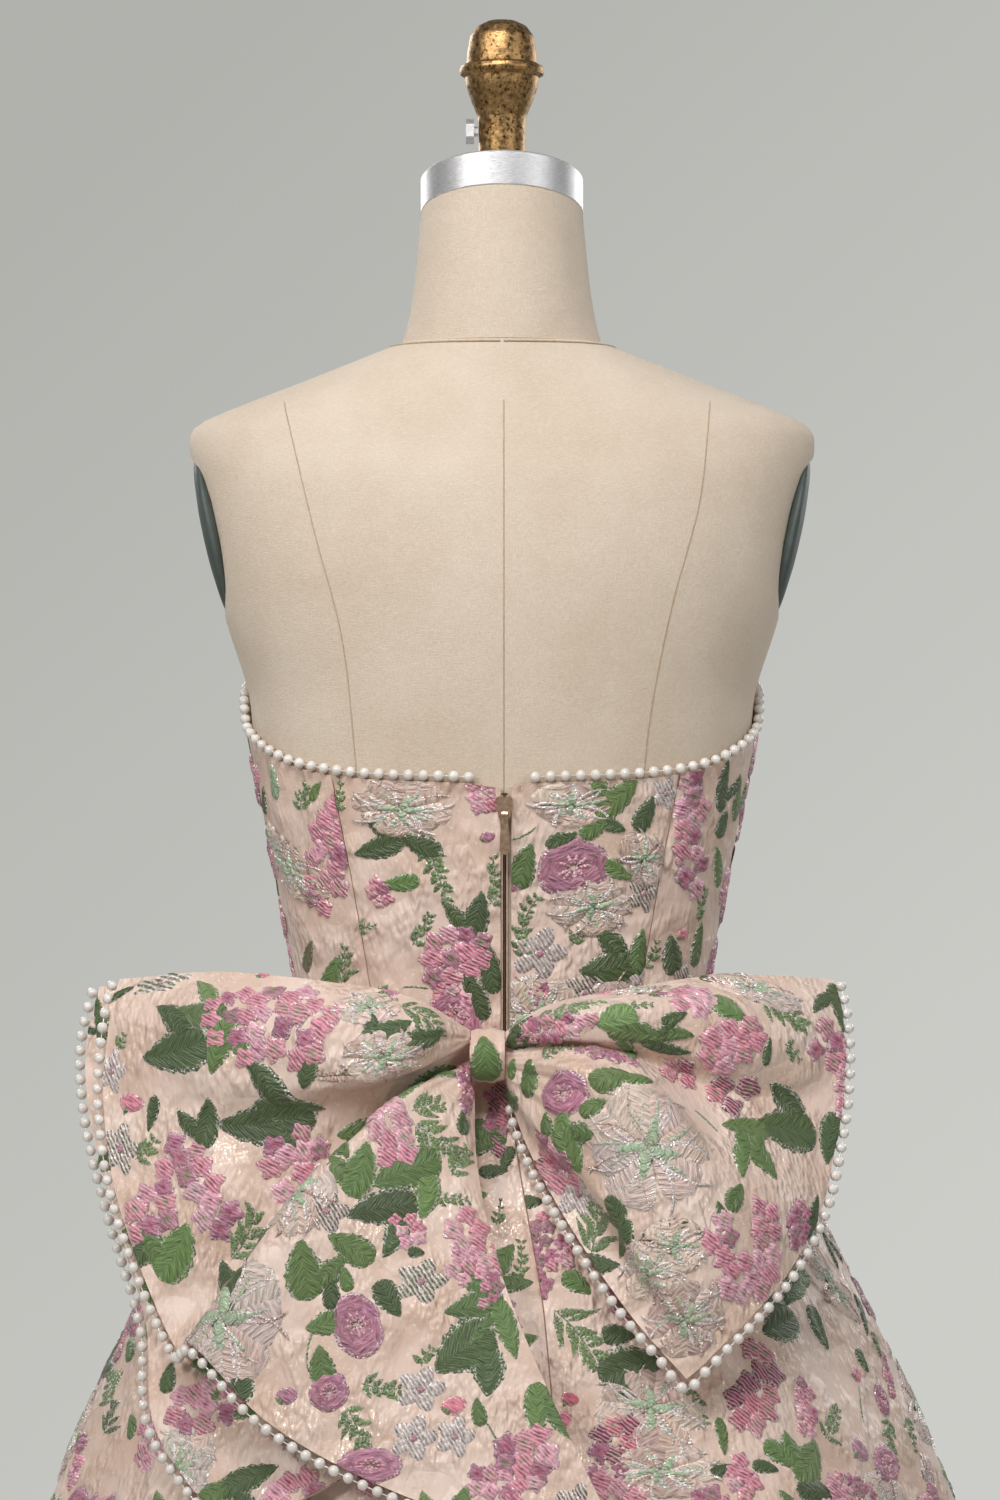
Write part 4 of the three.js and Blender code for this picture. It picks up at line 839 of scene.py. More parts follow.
def woven_material():
    """Raised woven flowers and leaves: colour from the pattern with painted light and shade on its crinkles,
    satin threads and metal sparks.
    """
    material, tree, shader = start_material(
        "brocade_woven", Sheen_Weight=0.15, Sheen_Roughness=0.4, Specular_IOR_Level=0.6)
    at = where(tree)
    tint = put(tree, "Attribute", attribute_name="tint")
    marks = put(tree, "Attribute", attribute_name="marks")
    split = put(tree, "SeparateColor", {0: marks.outputs["Color"]})
    stripe, rim = split.outputs[0], split.outputs[1]
    thread = put(tree, "Attribute", attribute_name="thread").outputs["Vector"]
    line = put(tree, "SeparateXYZ", {0: thread}).outputs[0]
    wobble = times(tree, noise(tree, at, 240), 6.0)
    wave = calc(tree, "SINE", calc(tree, "ADD", times(tree, line, 3.0), wobble))
    ridge = span(tree, wave, -0.6, 0.8)
    crinkle = noise(tree, stretched(tree, thread, (1.0, 0.35, 1.0)), 0.42, 3, 0.55)
    # Painted light and shade: the colour is lighter on the crests and darker in the hollows of the same
    # crinkles that raise the bump further down
    tone = span(tree, crinkle, 0.34, 0.66, 0.62, 1.28)
    base = put(tree, "VectorMath", {0: tint.outputs["Color"], 3: tone}, operation="SCALE").outputs[0]
    light = times(tree, times(tree, ridge, stripe), 0.66)
    base = blend(tree, light, base, PINK_THREAD)
    fleck = span(tree, noise(tree, at, 760, 1), 0.48, 0.58)
    edge = times(tree, span(tree, rim, 0.05, 0.45), fleck)
    metal = times(tree, tint.outputs["Alpha"], span(tree, noise(tree, at, 420, 1), 0.42, 0.58, 0.3, 1.0))
    spark = calc(tree, "MAXIMUM", times(tree, edge, 0.6), times(tree, metal, fleck), clamp=True)
    base = blend(tree, spark, base, SILVER_THREAD)
    wire(tree, shader, Base_Color=base)
    wire(tree, shader, Metallic=times(tree, calc(tree, "MAXIMUM", metal, spark), 0.75))
    wire(tree, shader, Roughness=span(tree, spark, 0, 1, 0.42, 0.26))
    folds = bump(tree, crinkle, 1.0, 0.0028)
    threads = bump(tree, times(tree, ridge, span(tree, stripe, 0.1, 1, 0.06, 1.0)), 0.5, 0.0007, folds)
    wire(tree, shader, Normal=bump(tree, noise(tree, at, 1200, 1), 0.25, 0.0005, threads))
    return material


def linen_material():
    material, tree, shader = start_material("linen_twill", Sheen_Weight=0.15, Roughness=0.86)
    at = where(tree)
    tone = span(tree, noise(tree, at, 14, 4, 0.6), 0.3, 0.7)
    base = blend(tree, tone, LINEN_DARK, LINEN_LIGHT)
    slub = span(tree, noise(tree, stretched(tree, at, (1, 1, 7)), 330, 2, 0.6), 0.42, 0.62)
    base = blend(tree, times(tree, slub, 0.35), base, SLUB_LIGHT)
    slub_up = span(tree, noise(tree, stretched(tree, at, (7, 7, 1)), 330, 2, 0.6), 0.42, 0.62)
    base = blend(tree, times(tree, slub_up, 0.25), base, SLUB_DARK)
    wire(tree, shader, Base_Color=base)
    weave = bump(tree, calc(tree, "ADD", slub, slub_up), 0.35, 0.0005)
    wire(tree, shader, Normal=bump(tree, noise(tree, at, 40, 3), 0.2, 0.003, weave))
    return material


def metal_material(name, dark, light, rough, grain, metallic=1.0, speckle=0.0, depth=0.0003):
    """Metal with a grain: brushed where the grain is stretched, and even otherwise."""
    material, tree, shader = start_material(name, Metallic=metallic)
    at = stretched(tree, where(tree), grain)
    tone = noise(tree, at, 300, 3, 0.6)
    base = blend(tree, span(tree, tone, 0.35, 0.65), dark, light)
    if speckle:
        spots = span(tree, noise(tree, where(tree), 420, 2, 0.6), 0.56, 0.64)
        base = blend(tree, times(tree, spots, speckle), base, SPECKLE)
    wire(tree, shader, Base_Color=base)
    wire(tree, shader, Roughness=span(tree, tone, 0.3, 0.7, rough * 0.8, rough * 1.25))
    wire(tree, shader, Normal=bump(tree, tone, 0.4, depth))
    return material


def pearl_material():
    material, tree, shader = start_material("pearl_lustre", Coat_Weight=1.0, Coat_Roughness=0.06)
    at = where(tree)
    tone = span(tree, noise(tree, at, 160), 0.3, 0.7)
    wire(tree, shader, Base_Color=blend(tree, tone, PEARL_DARK, PEARL_LIGHT))
    wire(tree, shader, Roughness=span(tree, noise(tree, at, 900), 0.3, 0.7, 0.16, 0.26))
    wire(tree, shader, Normal=bump(tree, noise(tree, at, 700, 1), 0.06, 0.0003))
    return material


def plain_material(name, dark, light, rough, scale=60, depth=0.0004):
    material, tree, shader = start_material(name)
    at = where(tree)
    tone = span(tree, noise(tree, at, scale, 4, 0.6), 0.3, 0.7)
    wire(tree, shader, Base_Color=blend(tree, tone, dark, light))
    wire(tree, shader, Roughness=span(tree, tone, 0, 1, rough * 0.85, rough * 1.1))
    wire(tree, shader, Normal=bump(tree, noise(tree, at, scale * 14), 0.3, depth))
    return material


EVEN = (1, 1, 1)
GROUND = ground_material()
WOVEN = woven_material()
LINEN = linen_material()
PEARLS = pearl_material()
STEEL = metal_material("steel_brushed", rgb(214, 214, 216), rgb(248, 246, 246), 0.4, (1, 1, 14), 0.82)
BRONZE = metal_material("bronze_cast", rgb(138, 106, 68), rgb(196, 158, 108), 0.42, EVEN, 1.0, 0.8, 0.0009)
ROSE_GOLD = metal_material("zip_rose_gold", rgb(212, 172, 142), rgb(236, 200, 172), 0.28, EVEN, 0.85, 0.0,
                           0.00004)
STAND = metal_material("stand_satin", rgb(128, 130, 132), rgb(170, 172, 174), 0.38, (1, 1, 9))
ARM_COVER = plain_material("arm_cover_grey", rgb(62, 72, 68), rgb(84, 94, 90), 0.55)
COIL = plain_material("zip_coil_rose", rgb(204, 170, 146), rgb(240, 210, 188), 0.35, 400)
TAPE = plain_material("zip_tape_rose", rgb(64, 46, 40), rgb(98, 74, 64), 0.6, 500)
# Dark tubes in the seams of the dress: painted shade in the gaps between the panels
SEAM_SHADE = plain_material("seam_painted_shade", rgb(120, 92, 80), rgb(168, 136, 118), 0.7, 500)
LINEN_SEAM = plain_material("linen_seam_thread", rgb(176, 152, 124), rgb(204, 184, 156), 0.8, 500)

# Cloth: rows of points from the lower to the upper edge, width of a column, and relief in mm
PANEL_ROWS, SKIRT_ROWS = 46, 84
LEAST_COLUMNS, MM_PER_DEGREE, COLUMN_WIDTH = 18, 2.3, 3.4
PANEL_RELIEF = {"seam": 0.55, "pucker": 0.22, "ripple": 0.22, "edge": 0.4}
SKIRT_RELIEF = {"seam": 0.7, "ripple": 0.55, "hem": 0.5, "hem_height": 22}
WING_RIPPLE, KNOT_CREASE = 0.6, 0.5
FACE = EASE + CLOTH
CLOTHS = []


def share_line(count):
    return np.linspace(0, 1, count)


def edge_distance(p, us):
    """How far each point of a panel is from its nearer side edge."""
    width = np.linalg.norm(np.diff(p, axis=0), axis=-1).sum(0)[None]
    return np.minimum(us, 1 - us) * width


def bodice_panel(name, left, right, lap=0):
    def edge(key, t, side):
        if key == "zip":
            depth = along(FORM, mix(WAIST_Z, neckline(0 * t), t), 2) + FACE
            return np.degrees(np.arctan2(ZIP["x"] + side * (ZIP["half"] + GAP / 2), depth))
        return mix(*SEAMS[key], t)
    vs = share_line(PANEL_ROWS)
    begin, finish = edge(left, vs, 1), edge(right, vs, -1) + lap
    reach = np.linalg.norm(body(mix(WAIST_Z, neckline(begin), vs), begin, FACE)[:, :2], axis=1)
    trim = np.degrees(GAP / 2 / reach)
    columns = int(max(LEAST_COLUMNS, (finish - begin).max() * MM_PER_DEGREE / COLUMN_WIDTH))
    us = share_line(columns)[:, None]
    angle = (begin + trim) * (1 - us) + (finish - trim) * us
    z = mix(WAIST_Z + GAP / 2, neckline(angle), vs[None])
    p = body(z, angle, FACE)
    d = edge_distance(p, us)
    puckers = np.sin(z / 2.1 + 3 * begin[0]) * bell(d - 4, 5)
    relief = -PANEL_RELIEF["seam"] * bell(d, 1.6) + PANEL_RELIEF["pucker"] * puckers
    relief += PANEL_RELIEF["ripple"] * ripple(p) * np.clip(d / 10, 0, 1)
    relief -= PANEL_RELIEF["edge"] * bell(neckline(angle) - z - 6, 1.2)
    CLOTHS.append(Cloth(name, p, 1, "stretched", ["form_torso"], relief))


bodice_panel("bodice_back_left", "back_left", "zip")
bodice_panel("bodice_back_right", "zip", "back_right")
bodice_panel("bodice_side_back_left", "side_left", "back_left")
bodice_panel("bodice_side_back_right", "back_right", "side_right")
bodice_panel("bodice_side_front_left", "front_left", "side_left")
bodice_panel("bodice_side_front_right", "side_right", "front_right")
bodice_panel("bodice_front", "front_right", "front_left", 360)


def skirt_panel(name, start, end, columns, held_by):
    vs = share_line(SKIRT_ROWS)
    z = mix(HEM_Z, WAIST_Z - GAP / 2, vs)
    trim = np.degrees(GAP / 2 / along(SKIRT, z, 1))
    begin = (along(BACK_SEAM, z, 1) if start == "seam" else start + 0 * z) + trim
    finish = (along(BACK_SEAM, z, 1) if end == "seam" else end + 0 * z) - trim
    us = share_line(columns)[:, None]
    angle = begin * (1 - us) + finish * us
    z = z[None] + 0 * angle
    p = skirt(z, angle)
    relief = SKIRT_RELIEF["ripple"] * ripple(p) * np.clip((WAIST_Z - z) / 60, 0, 1)
    for top, low, spread, height, end_z in GATHERS:
        t = np.clip((WAIST_Z - z) / (WAIST_Z - end_z), 0, 1)
        fade = np.clip(t / 0.12, 0, 1) * (1 - t) ** 1.2
        relief += height * fade * bell(turned(angle, mix(top, low, t)), spread)
    d = edge_distance(p, us)
    relief = relief * np.clip(d / 8, 0, 1) - SKIRT_RELIEF["seam"] * bell(d, 3)
    relief -= SKIRT_RELIEF["hem"] * bell(z - HEM_Z - SKIRT_RELIEF["hem_height"], 3)
    CLOTHS.append(Cloth(name, p, 1, "hung", [held_by], relief))


skirt_panel("skirt_back_left", -SKIRT_SIDE, "seam", 78, "bodice_back_left")
skirt_panel("skirt_back_right", "seam", SKIRT_SIDE, 70, "bodice_back_right")
skirt_panel("skirt_front", SKIRT_SIDE, 360 - SKIRT_SIDE, 138, "bodice_front")


def bow_wing(name, lines, nu, nv, side, side_trim=0.0):
    us, vs = share_line(nu), share_line(nv)
    p = wing_points(lines, us, vs, side_trim)
    u, v = us[:, None], vs[None]
    relief = WING_RIPPLE * ripple(p) * np.clip(u * 2.5, 0, 1)
    for near, far, spread, height, reach in table(CREASES[name], 5):
        t = np.clip(u / reach, 0, 1)
        relief += height * np.sin(np.pi * t ** 0.7) * bell(v - mix(near, far, u), spread * (1 + u))
    CLOTHS.append(Cloth(name, p, side, "folded", ["bow_knot"], relief))


def facing(lines):
    """Side that turns the wing's face towards the camera."""
    p = wing_points(lines, share_line(5), share_line(9))
    n = np.cross(np.gradient(p, axis=0), np.gradient(p, axis=1))
    return -1 if n[..., 1].mean() > 0 else 1


# Wings: lines, points along and across, and what is trimmed off the inner side
WINGS = {"bow_left_front": (LEFT_FRONT, 72, 118, 0.0), "bow_right_front": (RIGHT_FRONT, 66, 112, SIDE_TRIM),
         "bow_left_back": (LEFT_BACK, 62, 82, 0.0), "bow_right_back": (RIGHT_BACK, 52, 62, 0.0)}
for wing_name, (lines, nu, nv, trim) in WINGS.items():
    bow_wing(wing_name, lines, nu, nv, facing(lines), trim)


def knot_cloth():
    share = np.linspace(-1, 1, 17)[:, None]
    turn = np.radians(np.linspace(-179.7, 179.7, 90))[None]
    creases = KNOT_CREASE * np.sin(share * 7 + 0.8 * np.sin(2 * turn))
    out = (KNOT["puff"] + creases) * (1 - share ** 2)
    y = KNOT["y"] - (KNOT["deep"] + out) * np.cos(turn)
    z = KNOT["z"] + (KNOT["tall"] + out) * np.sin(turn)
    p = np.stack([KNOT["x"] + share * KNOT["half"] + 0 * turn, y, z], -1)
    CLOTHS.append(Cloth("bow_knot", p, 1, "folded", ["bow_left_front"], wall=KNOT["wall"]))


knot_cloth()

# Woven motifs on the cloth
# In pixels: a cell of the map of depths, and how near to its place a motif's middle may be found
CELL, FOUND = 8, 9
# In mm: how far behind the foremost cloth a point may be to show
DEPTH_SLACK, FOUND_SLACK = 16, 12
GROWN = {"cluster": 1.12, "fern": 1.2}
RIGHT, UP = np.array([1.0, 0.0, 0.0]), np.array([0.0, 0.0, 1.0])
SCATTER_TRIES = 2600


def build_pattern(kind, w, h, angle, tone):
    pattern = Pattern()
    DRAW[kind](pattern, w, h, angle, tone)
    return pattern.done()


ALL_POINTS = np.concatenate([c.points.reshape(-1, 3) for c in CLOTHS])
ALL_NORMALS = np.concatenate([c.normal.reshape(-1, 3) for c in CLOTHS])
ALL_PHOTO = to_photo(ALL_POINTS)
COUNTS = [c.points.shape[0] * c.points.shape[1] for c in CLOTHS]
OWNER = np.repeat(np.arange(len(CLOTHS)), COUNTS)
FIRST = np.concatenate([[0], np.cumsum(COUNTS)])
TOWARDS = (unit(CAMERA - ALL_POINTS) * ALL_NORMALS).sum(1)
cell = np.floor(ALL_PHOTO / CELL).astype(int)
inside = ((ALL_PHOTO > 0) & (ALL_PHOTO < [PHOTO_W, PHOTO_H])).all(1)
nearest = np.full((PHOTO_W // CELL + 2, PHOTO_H // CELL + 2), 1e9)
np.minimum.at(nearest, (cell[inside, 0], cell[inside, 1]), ALL_POINTS[inside, 1])
SHOWN = inside.copy()
foremost = nearest[cell[inside, 0], cell[inside, 1]]
SHOWN[inside] = (ALL_POINTS[inside, 1] < foremost + DEPTH_SLACK) & (TOWARDS[inside] > 0.05)


def find_seen(x, y):
    """The cloth and grid place that show at a place in the photograph."""
    d = np.linalg.norm(ALL_PHOTO - [x, y], axis=1)
    near = np.where((d < FOUND) & (TOWARDS > 0.1))[0]
    if not len(near):
        near = np.argsort(d + 50 * (TOWARDS < 0.05))[:4]
    front = near[ALL_POINTS[near, 1] < ALL_POINTS[near, 1].min() + FOUND_SLACK]
    k = front[np.argmin(d[front])]
    cloth = CLOTHS[OWNER[k]]
    return cloth, *divmod(k - FIRST[OWNER[k]], cloth.points.shape[1])


for kind, x, y, w, h, angle, tone in sum(map(rows_of, SEEN.values()), []):
    cloth, i, j = find_seen(x, y)
    mm = (cloth.points[i, j, 1] - CAMERA[1]) * SENSOR / LENS / PHOTO_H
    mm *= GROWN.get(kind, 1.0)
    cloth.lay(i, j, RIGHT, build_pattern(kind, w * mm, h * mm, angle, tone))
CLOTHS[-1].lay(7, 44, RIGHT, build_pattern("leaf", 26, 17, 92, "green"))


def scatter():
    """Motifs on what the photograph doesn't show, kept apart from each other."""
    weights = np.array([row[4] for row in HIDDEN], float)
    placed = []
    for k, cloth in enumerate(CLOTHS[:-1]):
        nv = cloth.points.shape[1]
        hidden = np.where(~SHOWN[FIRST[k]:FIRST[k + 1]])[0]
        for spot in RNG.permutation(hidden)[:SCATTER_TRIES]:
            i, j = divmod(spot, nv)
            p = cloth.points[i, j]
            if any(o is cloth and np.sum((p - q) ** 2) < SPREAD ** 2 for o, q in placed):
                continue
            placed.append((cloth, p))
            kind, w, h, tone, _ = HIDDEN[RNG.choice(len(HIDDEN), p=weights / weights.sum())]
            grow = RNG.uniform(1.1, 1.55)
            w, h = w * grow * MM_PER_PIXEL, h * grow * MM_PER_PIXEL
            right = unit(np.cross(UP, cloth.normal[i, j]))
            cloth.lay(i, j, right, build_pattern(kind, w, h, RNG.uniform(0, 360), tone))


scatter()


def finish_cloth(cloth):
    places, faces, tints, marks, threads = zip(*cloth.patterns)
    starts = np.cumsum([0] + [len(place) for place in places])
    faces = np.concatenate([f + start for f, start in zip(faces, starts)])
    thread = np.pad(np.concatenate(threads), ((0, 0), (0, 2)))
    marks = {"tint": np.concatenate(tints), "marks": np.concatenate(marks), "thread": thread}
    points = np.concatenate(places)
    piece = make_piece("woven_" + cloth.name, points, faces, WOVEN, marks=marks, sharp=0)
    cloth.declare([piece])


for cloth in CLOTHS:
    finish_cloth(cloth)

# Tubes, pearls and seams
STRING = {"pitch": 6, "radius": 0.35}
STITCH = {"pitch": 2.2, "radius": 0.45}
LIFT = PEARL_RADIUS + 2 * GAP
NEAR = 0.02


def tube(line, radius, around=6):
    """Points and faces of an open round tube along a line."""
    tangent = unit(np.gradient(line, axis=0))
    side = unit(np.cross(tangent, np.where(np.abs(tangent[:, 2:]) > 0.9, [[1.0, 0, 0]], [[0, 0, 1.0]])))
    other = np.cross(tangent, side)
    a = np.linspace(0, 2 * np.pi, around, endpoint=False)[None, :, None]
    points = line[:, None] + radius * (side[:, None] * np.cos(a) + other[:, None] * np.sin(a))
    return points.reshape(-1, 3), ring_quads(len(line), around)


def resample(line, pitch):
    gone = np.concatenate([[0], np.cumsum(np.linalg.norm(np.diff(line, axis=0), axis=1))])
    count = max(2, int(round(gone[-1] / pitch)))
    at = (np.arange(count) + 0.5) / count * gone[-1]
    return np.stack([np.interp(at, gone, line[:, k]) for k in range(3)], 1)


def ball(rings=8, around=14):
    """Points and triangles of a small ball."""
    a = np.linspace(0, np.pi, rings + 1)[1:-1]
    b = np.linspace(0, 2 * np.pi, around, endpoint=False)
    points = np.stack([np.outer(np.sin(a), np.cos(b)), np.outer(np.sin(a), np.sin(b)),
                       np.outer(np.cos(a), np.ones(around))], -1).reshape(-1, 3)
    points = np.concatenate([points, [[0, 0, 1], [0, 0, -1]]])
    at = np.arange((rings - 1) * around).reshape(rings - 1, around)
    nxt = np.roll(at, -1, 1)
    top, low = len(points) - 2, len(points) - 1
    tris = [(at[:-1], at[1:], nxt[1:]), (at[:-1], nxt[1:], nxt[:-1]), (0 * at[0] + top, at[0], nxt[0]),
            (at[-1], 0 * at[0] + low, nxt[-1])]
    return points, np.concatenate([np.stack(corners, -1).reshape(-1, 3) for corners in tris])


def pearl_strand(name, line):
    centres = resample(line, PEARL_PITCH)
    shape, tris = ball()
    sizes = PEARL_RADIUS * RNG.uniform(0.95, 1.03, len(centres))
    points = (centres[:, None] + shape[None] * sizes[:, None, None]).reshape(-1, 3)
    faces = (tris[None] + (np.arange(len(centres)) * len(shape))[:, None, None]).reshape(-1, 3)
    string, quads = tube(resample(line, STRING["pitch"]), STRING["radius"])
    faces = np.concatenate([faces, halves(quads + len(points))])
    make_piece(name + "_beads", np.concatenate([points, string]), faces, PEARLS, [name], sharp=0)


def edge_line(edge, back):
    """Points just outside a free edge, square to it and in the plane of the cloth."""
    tangent = unit(np.gradient(edge, axis=0))
    inward = back - edge
    away = -unit(inward - tangent * (inward * tangent).sum(1, keepdims=True))
    return edge + away * LIFT


def wing_edge(lines, trim):
    """The line of a wing's pearls: its free end, and on a trimmed wing its inner side too."""
    end, inner_end = wing_points(lines, np.array([1.0, 1 - NEAR]), share_line(90), trim)
    outer = edge_line(end, inner_end)
    if not trim:
        return outer
    pair = wing_points(lines, np.linspace(1, 0, 60), np.array([1.0, 1 - NEAR]), trim)
    inner = edge_line(pair[:, 0], pair[:, 1])
    corner = wing_points(lines, np.array([0.9, 1.0]), np.array([0.9, 1.0]), trim)
    tip = corner[1, 1] + unit(corner[1, 1] - corner[0, 0]) * 2 * PEARL_RADIUS
    whole = np.concatenate([outer[:-2], tip[None], inner[3:]])
    return spline(whole[::4], share_line(300))


for wing_name, (lines, nu, nv, trim) in WINGS.items():
    pearl_strand("pearls_" + wing_name, wing_edge(lines, trim))

open_angle = math.degrees(math.atan2(NECKLINE_OPEN, 94))
top_angles = np.linspace(open_angle, 360 - open_angle, 400)
pearl_strand("pearls_neckline", body(neckline(top_angles) + LIFT, top_angles, LIFT))


def stitched_line(name, line, material, radius=STITCH["radius"]):
    points, quads = tube(resample(line, STITCH["pitch"]), radius)
    make_piece(name, points, halves(quads), material, sharp=0)


# Seams of the dress, sunk between the panels by these depths; their dark tubes are painted shade in the seams
BODICE_SINK, SKIRT_SINK = 0.75, 0.9
heights = np.linspace(0.01, 0.99, 60)
for key, (waist, top) in SEAMS.items():
    angle = mix(waist, top, heights)
    line = body(mix(WAIST_Z, neckline(angle), heights), angle, FACE - BODICE_SINK)
    stitched_line("seam_bodice_" + key, line, SEAM_SHADE)
falls = np.linspace(WAIST_Z - 2, HEM_Z + 2, 90)
sides = {"back": along(BACK_SEAM, falls, 1), "left": -SKIRT_SIDE + 0 * falls, "right": SKIRT_SIDE + 0 * falls}
for key, angle in sides.items():
    line = skirt(falls, angle)
    line[:, :2] *= 1 - SKIRT_SINK / np.linalg.norm(line[:, :2], axis=1, keepdims=True)
    stitched_line("seam_skirt_" + key, line, SEAM_SHADE)

# Zip: section of the tape, distance and radius of its edges, and the coil
TAPE_SECTION = [(-1, 0.25), (-0.45, 0.6), (0.45, 0.6), (1, 0.25), (1, 1.2), (-1, 1.2)]
TAPE_EDGE = {"x": 1.45, "sink": 0.18, "radius": 0.42}
ZIP_COIL = {"half": 0.7, "deep": 0.3, "sink": 0.5, "pitch": 1.35, "step": 0.16, "radius": 0.3, "sides": 5}


def back_face(z):
    return ZIP["sink"] - (along(FORM, z, 2) + FACE)


def zip_chain():
    """Two tape edges and a coil of small loops between them, over a thin tape."""
    z = np.linspace(WAIST_Z + GAP, ZIP["top"], 60)
    y = back_face(z)
    rows = [np.stack([ZIP["x"] + dx * ZIP["half"] + 0 * z, y + dy, z], -1) for dx, dy in TAPE_SECTION]
    loft_piece("zip_tape_strip", np.stack(rows, 1), TAPE, ["zip_chain"])
    for side, word in ((-1, "left"), (1, "right")):
        line = np.stack([ZIP["x"] + side * TAPE_EDGE["x"] + 0 * z, y + TAPE_EDGE["sink"], z], -1)
        stitched_line("zip_edge_" + word, line, COIL, TAPE_EDGE["radius"])
    turns = np.arange(WAIST_Z + 1, ZIP["top"] - 1, ZIP_COIL["step"])
    phase = turns / ZIP_COIL["pitch"] * 2 * np.pi
    deep = ZIP_COIL["sink"] - ZIP_COIL["deep"] * np.cos(phase * 2)
    coil = np.stack([ZIP["x"] + ZIP_COIL["half"] * np.sin(phase), back_face(turns) + deep, turns], -1)
    points, quads = tube(coil, ZIP_COIL["radius"], ZIP_COIL["sides"])
    make_piece("zip_coil", points, quads, TAPE, sharp=0)


zip_chain()

# Form
def around(count):
    return np.linspace(0, 360, count, endpoint=False)[None]


def arm_plate(side, grow=0.0, shaft=0.0):
    """Rings of an oval arm plate, or of its pocket in the torso, which runs on outwards at full size."""
    profile = spline(np.pad(ARM_PROFILE, ((0, 0), (0, 1))), share_line(16))
    level, size = profile[:, :1], profile[:, 1:2]
    if shaft:
        size = np.where(level > 0, 1.0, size)
    out = level * ARM["thick"] / 2 + np.sign(level) * grow + np.maximum(level, 0) * shaft
    a = np.radians(around(80))
    x = side * out + 0 * a
    y, z = (ARM["deep"] * size + grow) * np.sin(a), (ARM["tall"] * size + grow) * np.cos(a)
    lean = math.radians(side * ARM["lean"])
    p = np.stack([side * ARM["x"] + x * math.cos(lean) + z * math.sin(lean), ARM["y"] + y,
                  ARM["z"] + z * math.cos(lean) - x * math.sin(lean)], -1)
    return p[:, ::-1] if side > 0 else p


def cut_out(piece, rings):
    """Cuts the room inside closed rings out of a piece."""
    points, quads, caps = loft(rings)
    mesh = bpy.data.meshes.new("room")
    mesh.from_pydata((points * MM).tolist(), [], quads.tolist() + caps.tolist())
    room = add_object("room", mesh)
    cut = piece.modifiers.new("pocket", "BOOLEAN")
    cut.operation, cut.solver, cut.object = "DIFFERENCE", "EXACT", room
    bpy.context.view_layer.update()
    done = bpy.data.meshes.new_from_object(piece.evaluated_get(bpy.context.evaluated_depsgraph_get()))
    piece.modifiers.clear()
    piece.data = done
    bpy.data.objects.remove(room)
    done.set_sharp_from_angle(angle=math.radians(TURNED_SHARP))


rows = np.linspace(FORM[0, 0], FORM[-1, 0], 130)[:, None]
torso = loft_piece("form_torso_linen", body(rows, around(150), 0.0), LINEN, ["form_torso"])
for side, word in ((-1, "left"), (1, "right")):
    cut_out(torso, arm_plate(side, GAP, ARM["shaft"]))
    loft_piece("arm_cover_" + word, arm_plate(side), ARM_COVER, ["arm_plate_" + word])
neck_share = share_line(24)[:, None]
neck_rows = mix(NECK[0, 0], NECK[-1, 0], neck_share) + 0 * around(90)
neck = oval(NECK, neck_rows, around(90) + 0 * neck_share, 0.0, 0.0)
neck[..., 2] -= NECK_TILT * neck[..., 1] * neck_share
loft_piece("form_neck_linen", neck, LINEN, ["form_neck"])


def round_rings(rows, count, rise=0.0, first_only=False):
    a = np.radians(around(count))
    z, r = rows[:, :1], rows[:, 1:]
    p = np.stack([r * np.sin(a), -r * np.cos(a), z + 0 * a], -1)
    lean = -NECK_TILT * p[..., 1] * rise
    if first_only:
        lean[1:] = 0
    p[..., 2] += lean
    return p


top, wide = NECK[-1, 0], PLATE["radius"]
plate = np.array([[top + GAP, wide - 0.5], [top + GAP + 0.5, wide], [top + PLATE["height"] - 1, wide],
                  [top + PLATE["height"], wide - 1]])
loft_piece("neck_ring_turned", round_rings(plate, 120, 1.0), STEEL, ["neck_ring"])
cap = CAP.copy()
cap[0, 0] = top + PLATE["height"] + GAP
fine = np.linspace(cap[1, 0], cap[-1, 0], 70)
smooth_cap = np.concatenate([cap[:1], np.stack([fine, np.interp(fine, cap[1:, 0], cap[1:, 1])], 1)])
loft_piece("neck_cap_cast", round_rings(smooth_cap, 96, 1.0, True), BRONZE, ["neck_cap"])
loft_piece("stand_base_turned", round_rings(BASE, 120), STAND, ["stand_base"])
pole = np.array([[BASE[-1, 0] + GAP, POLE_RADIUS], [FORM[0, 0] - GAP, POLE_RADIUS]])
loft_piece("stand_pole_turned", round_rings(pole, 64), STAND, ["stand_pole"])


# Seams of the linen cover, as height and place across: centre back, and one over each shoulder blade
LINEN_LOW, LINEN_HIGH = 1150, 1420
LINEN_STITCH, NECK_STITCH = 0.4, {"z": 1455.5, "radius": 0.6}
LINEN_SEAMS = {
    "centre": [[1150, 1], [1424, 1]],
    "left": [[1150, -80], [1199, -84], [1276, -92], [1340, -108], [1420, -127]],
    "right": [[1150, 79], [1199, 82], [1240, 86.6], [1299, 98.4], [1358, 113.7], [1420, 121]]}
z = np.linspace(LINEN_LOW, LINEN_HIGH, 90)
for key, places in LINEN_SEAMS.items():
    across = along(np.array(places, float), z, 1) / along(FORM, z, 1)
    angle = np.degrees(np.arcsin(np.clip(across, -0.95, 0.95)))
    stitched_line("seam_linen_" + key, body(z, angle, 0.05), LINEN_SEAM, LINEN_STITCH)
turn = np.linspace(0, 360, 120)
neck_line = body(NECK_STITCH["z"] + 0 * turn, turn, 0.4)
stitched_line("seam_linen_neck", neck_line, LINEN_SEAM, NECK_STITCH["radius"])

# CAD pieces that are shown as they are
for node, material in (("set_screw", STEEL), ("zip_slider", ROSE_GOLD), ("zip_pull", ROSE_GOLD)):
    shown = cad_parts[node]
    shown.data.materials.clear()
    shown.data.materials.append(material)

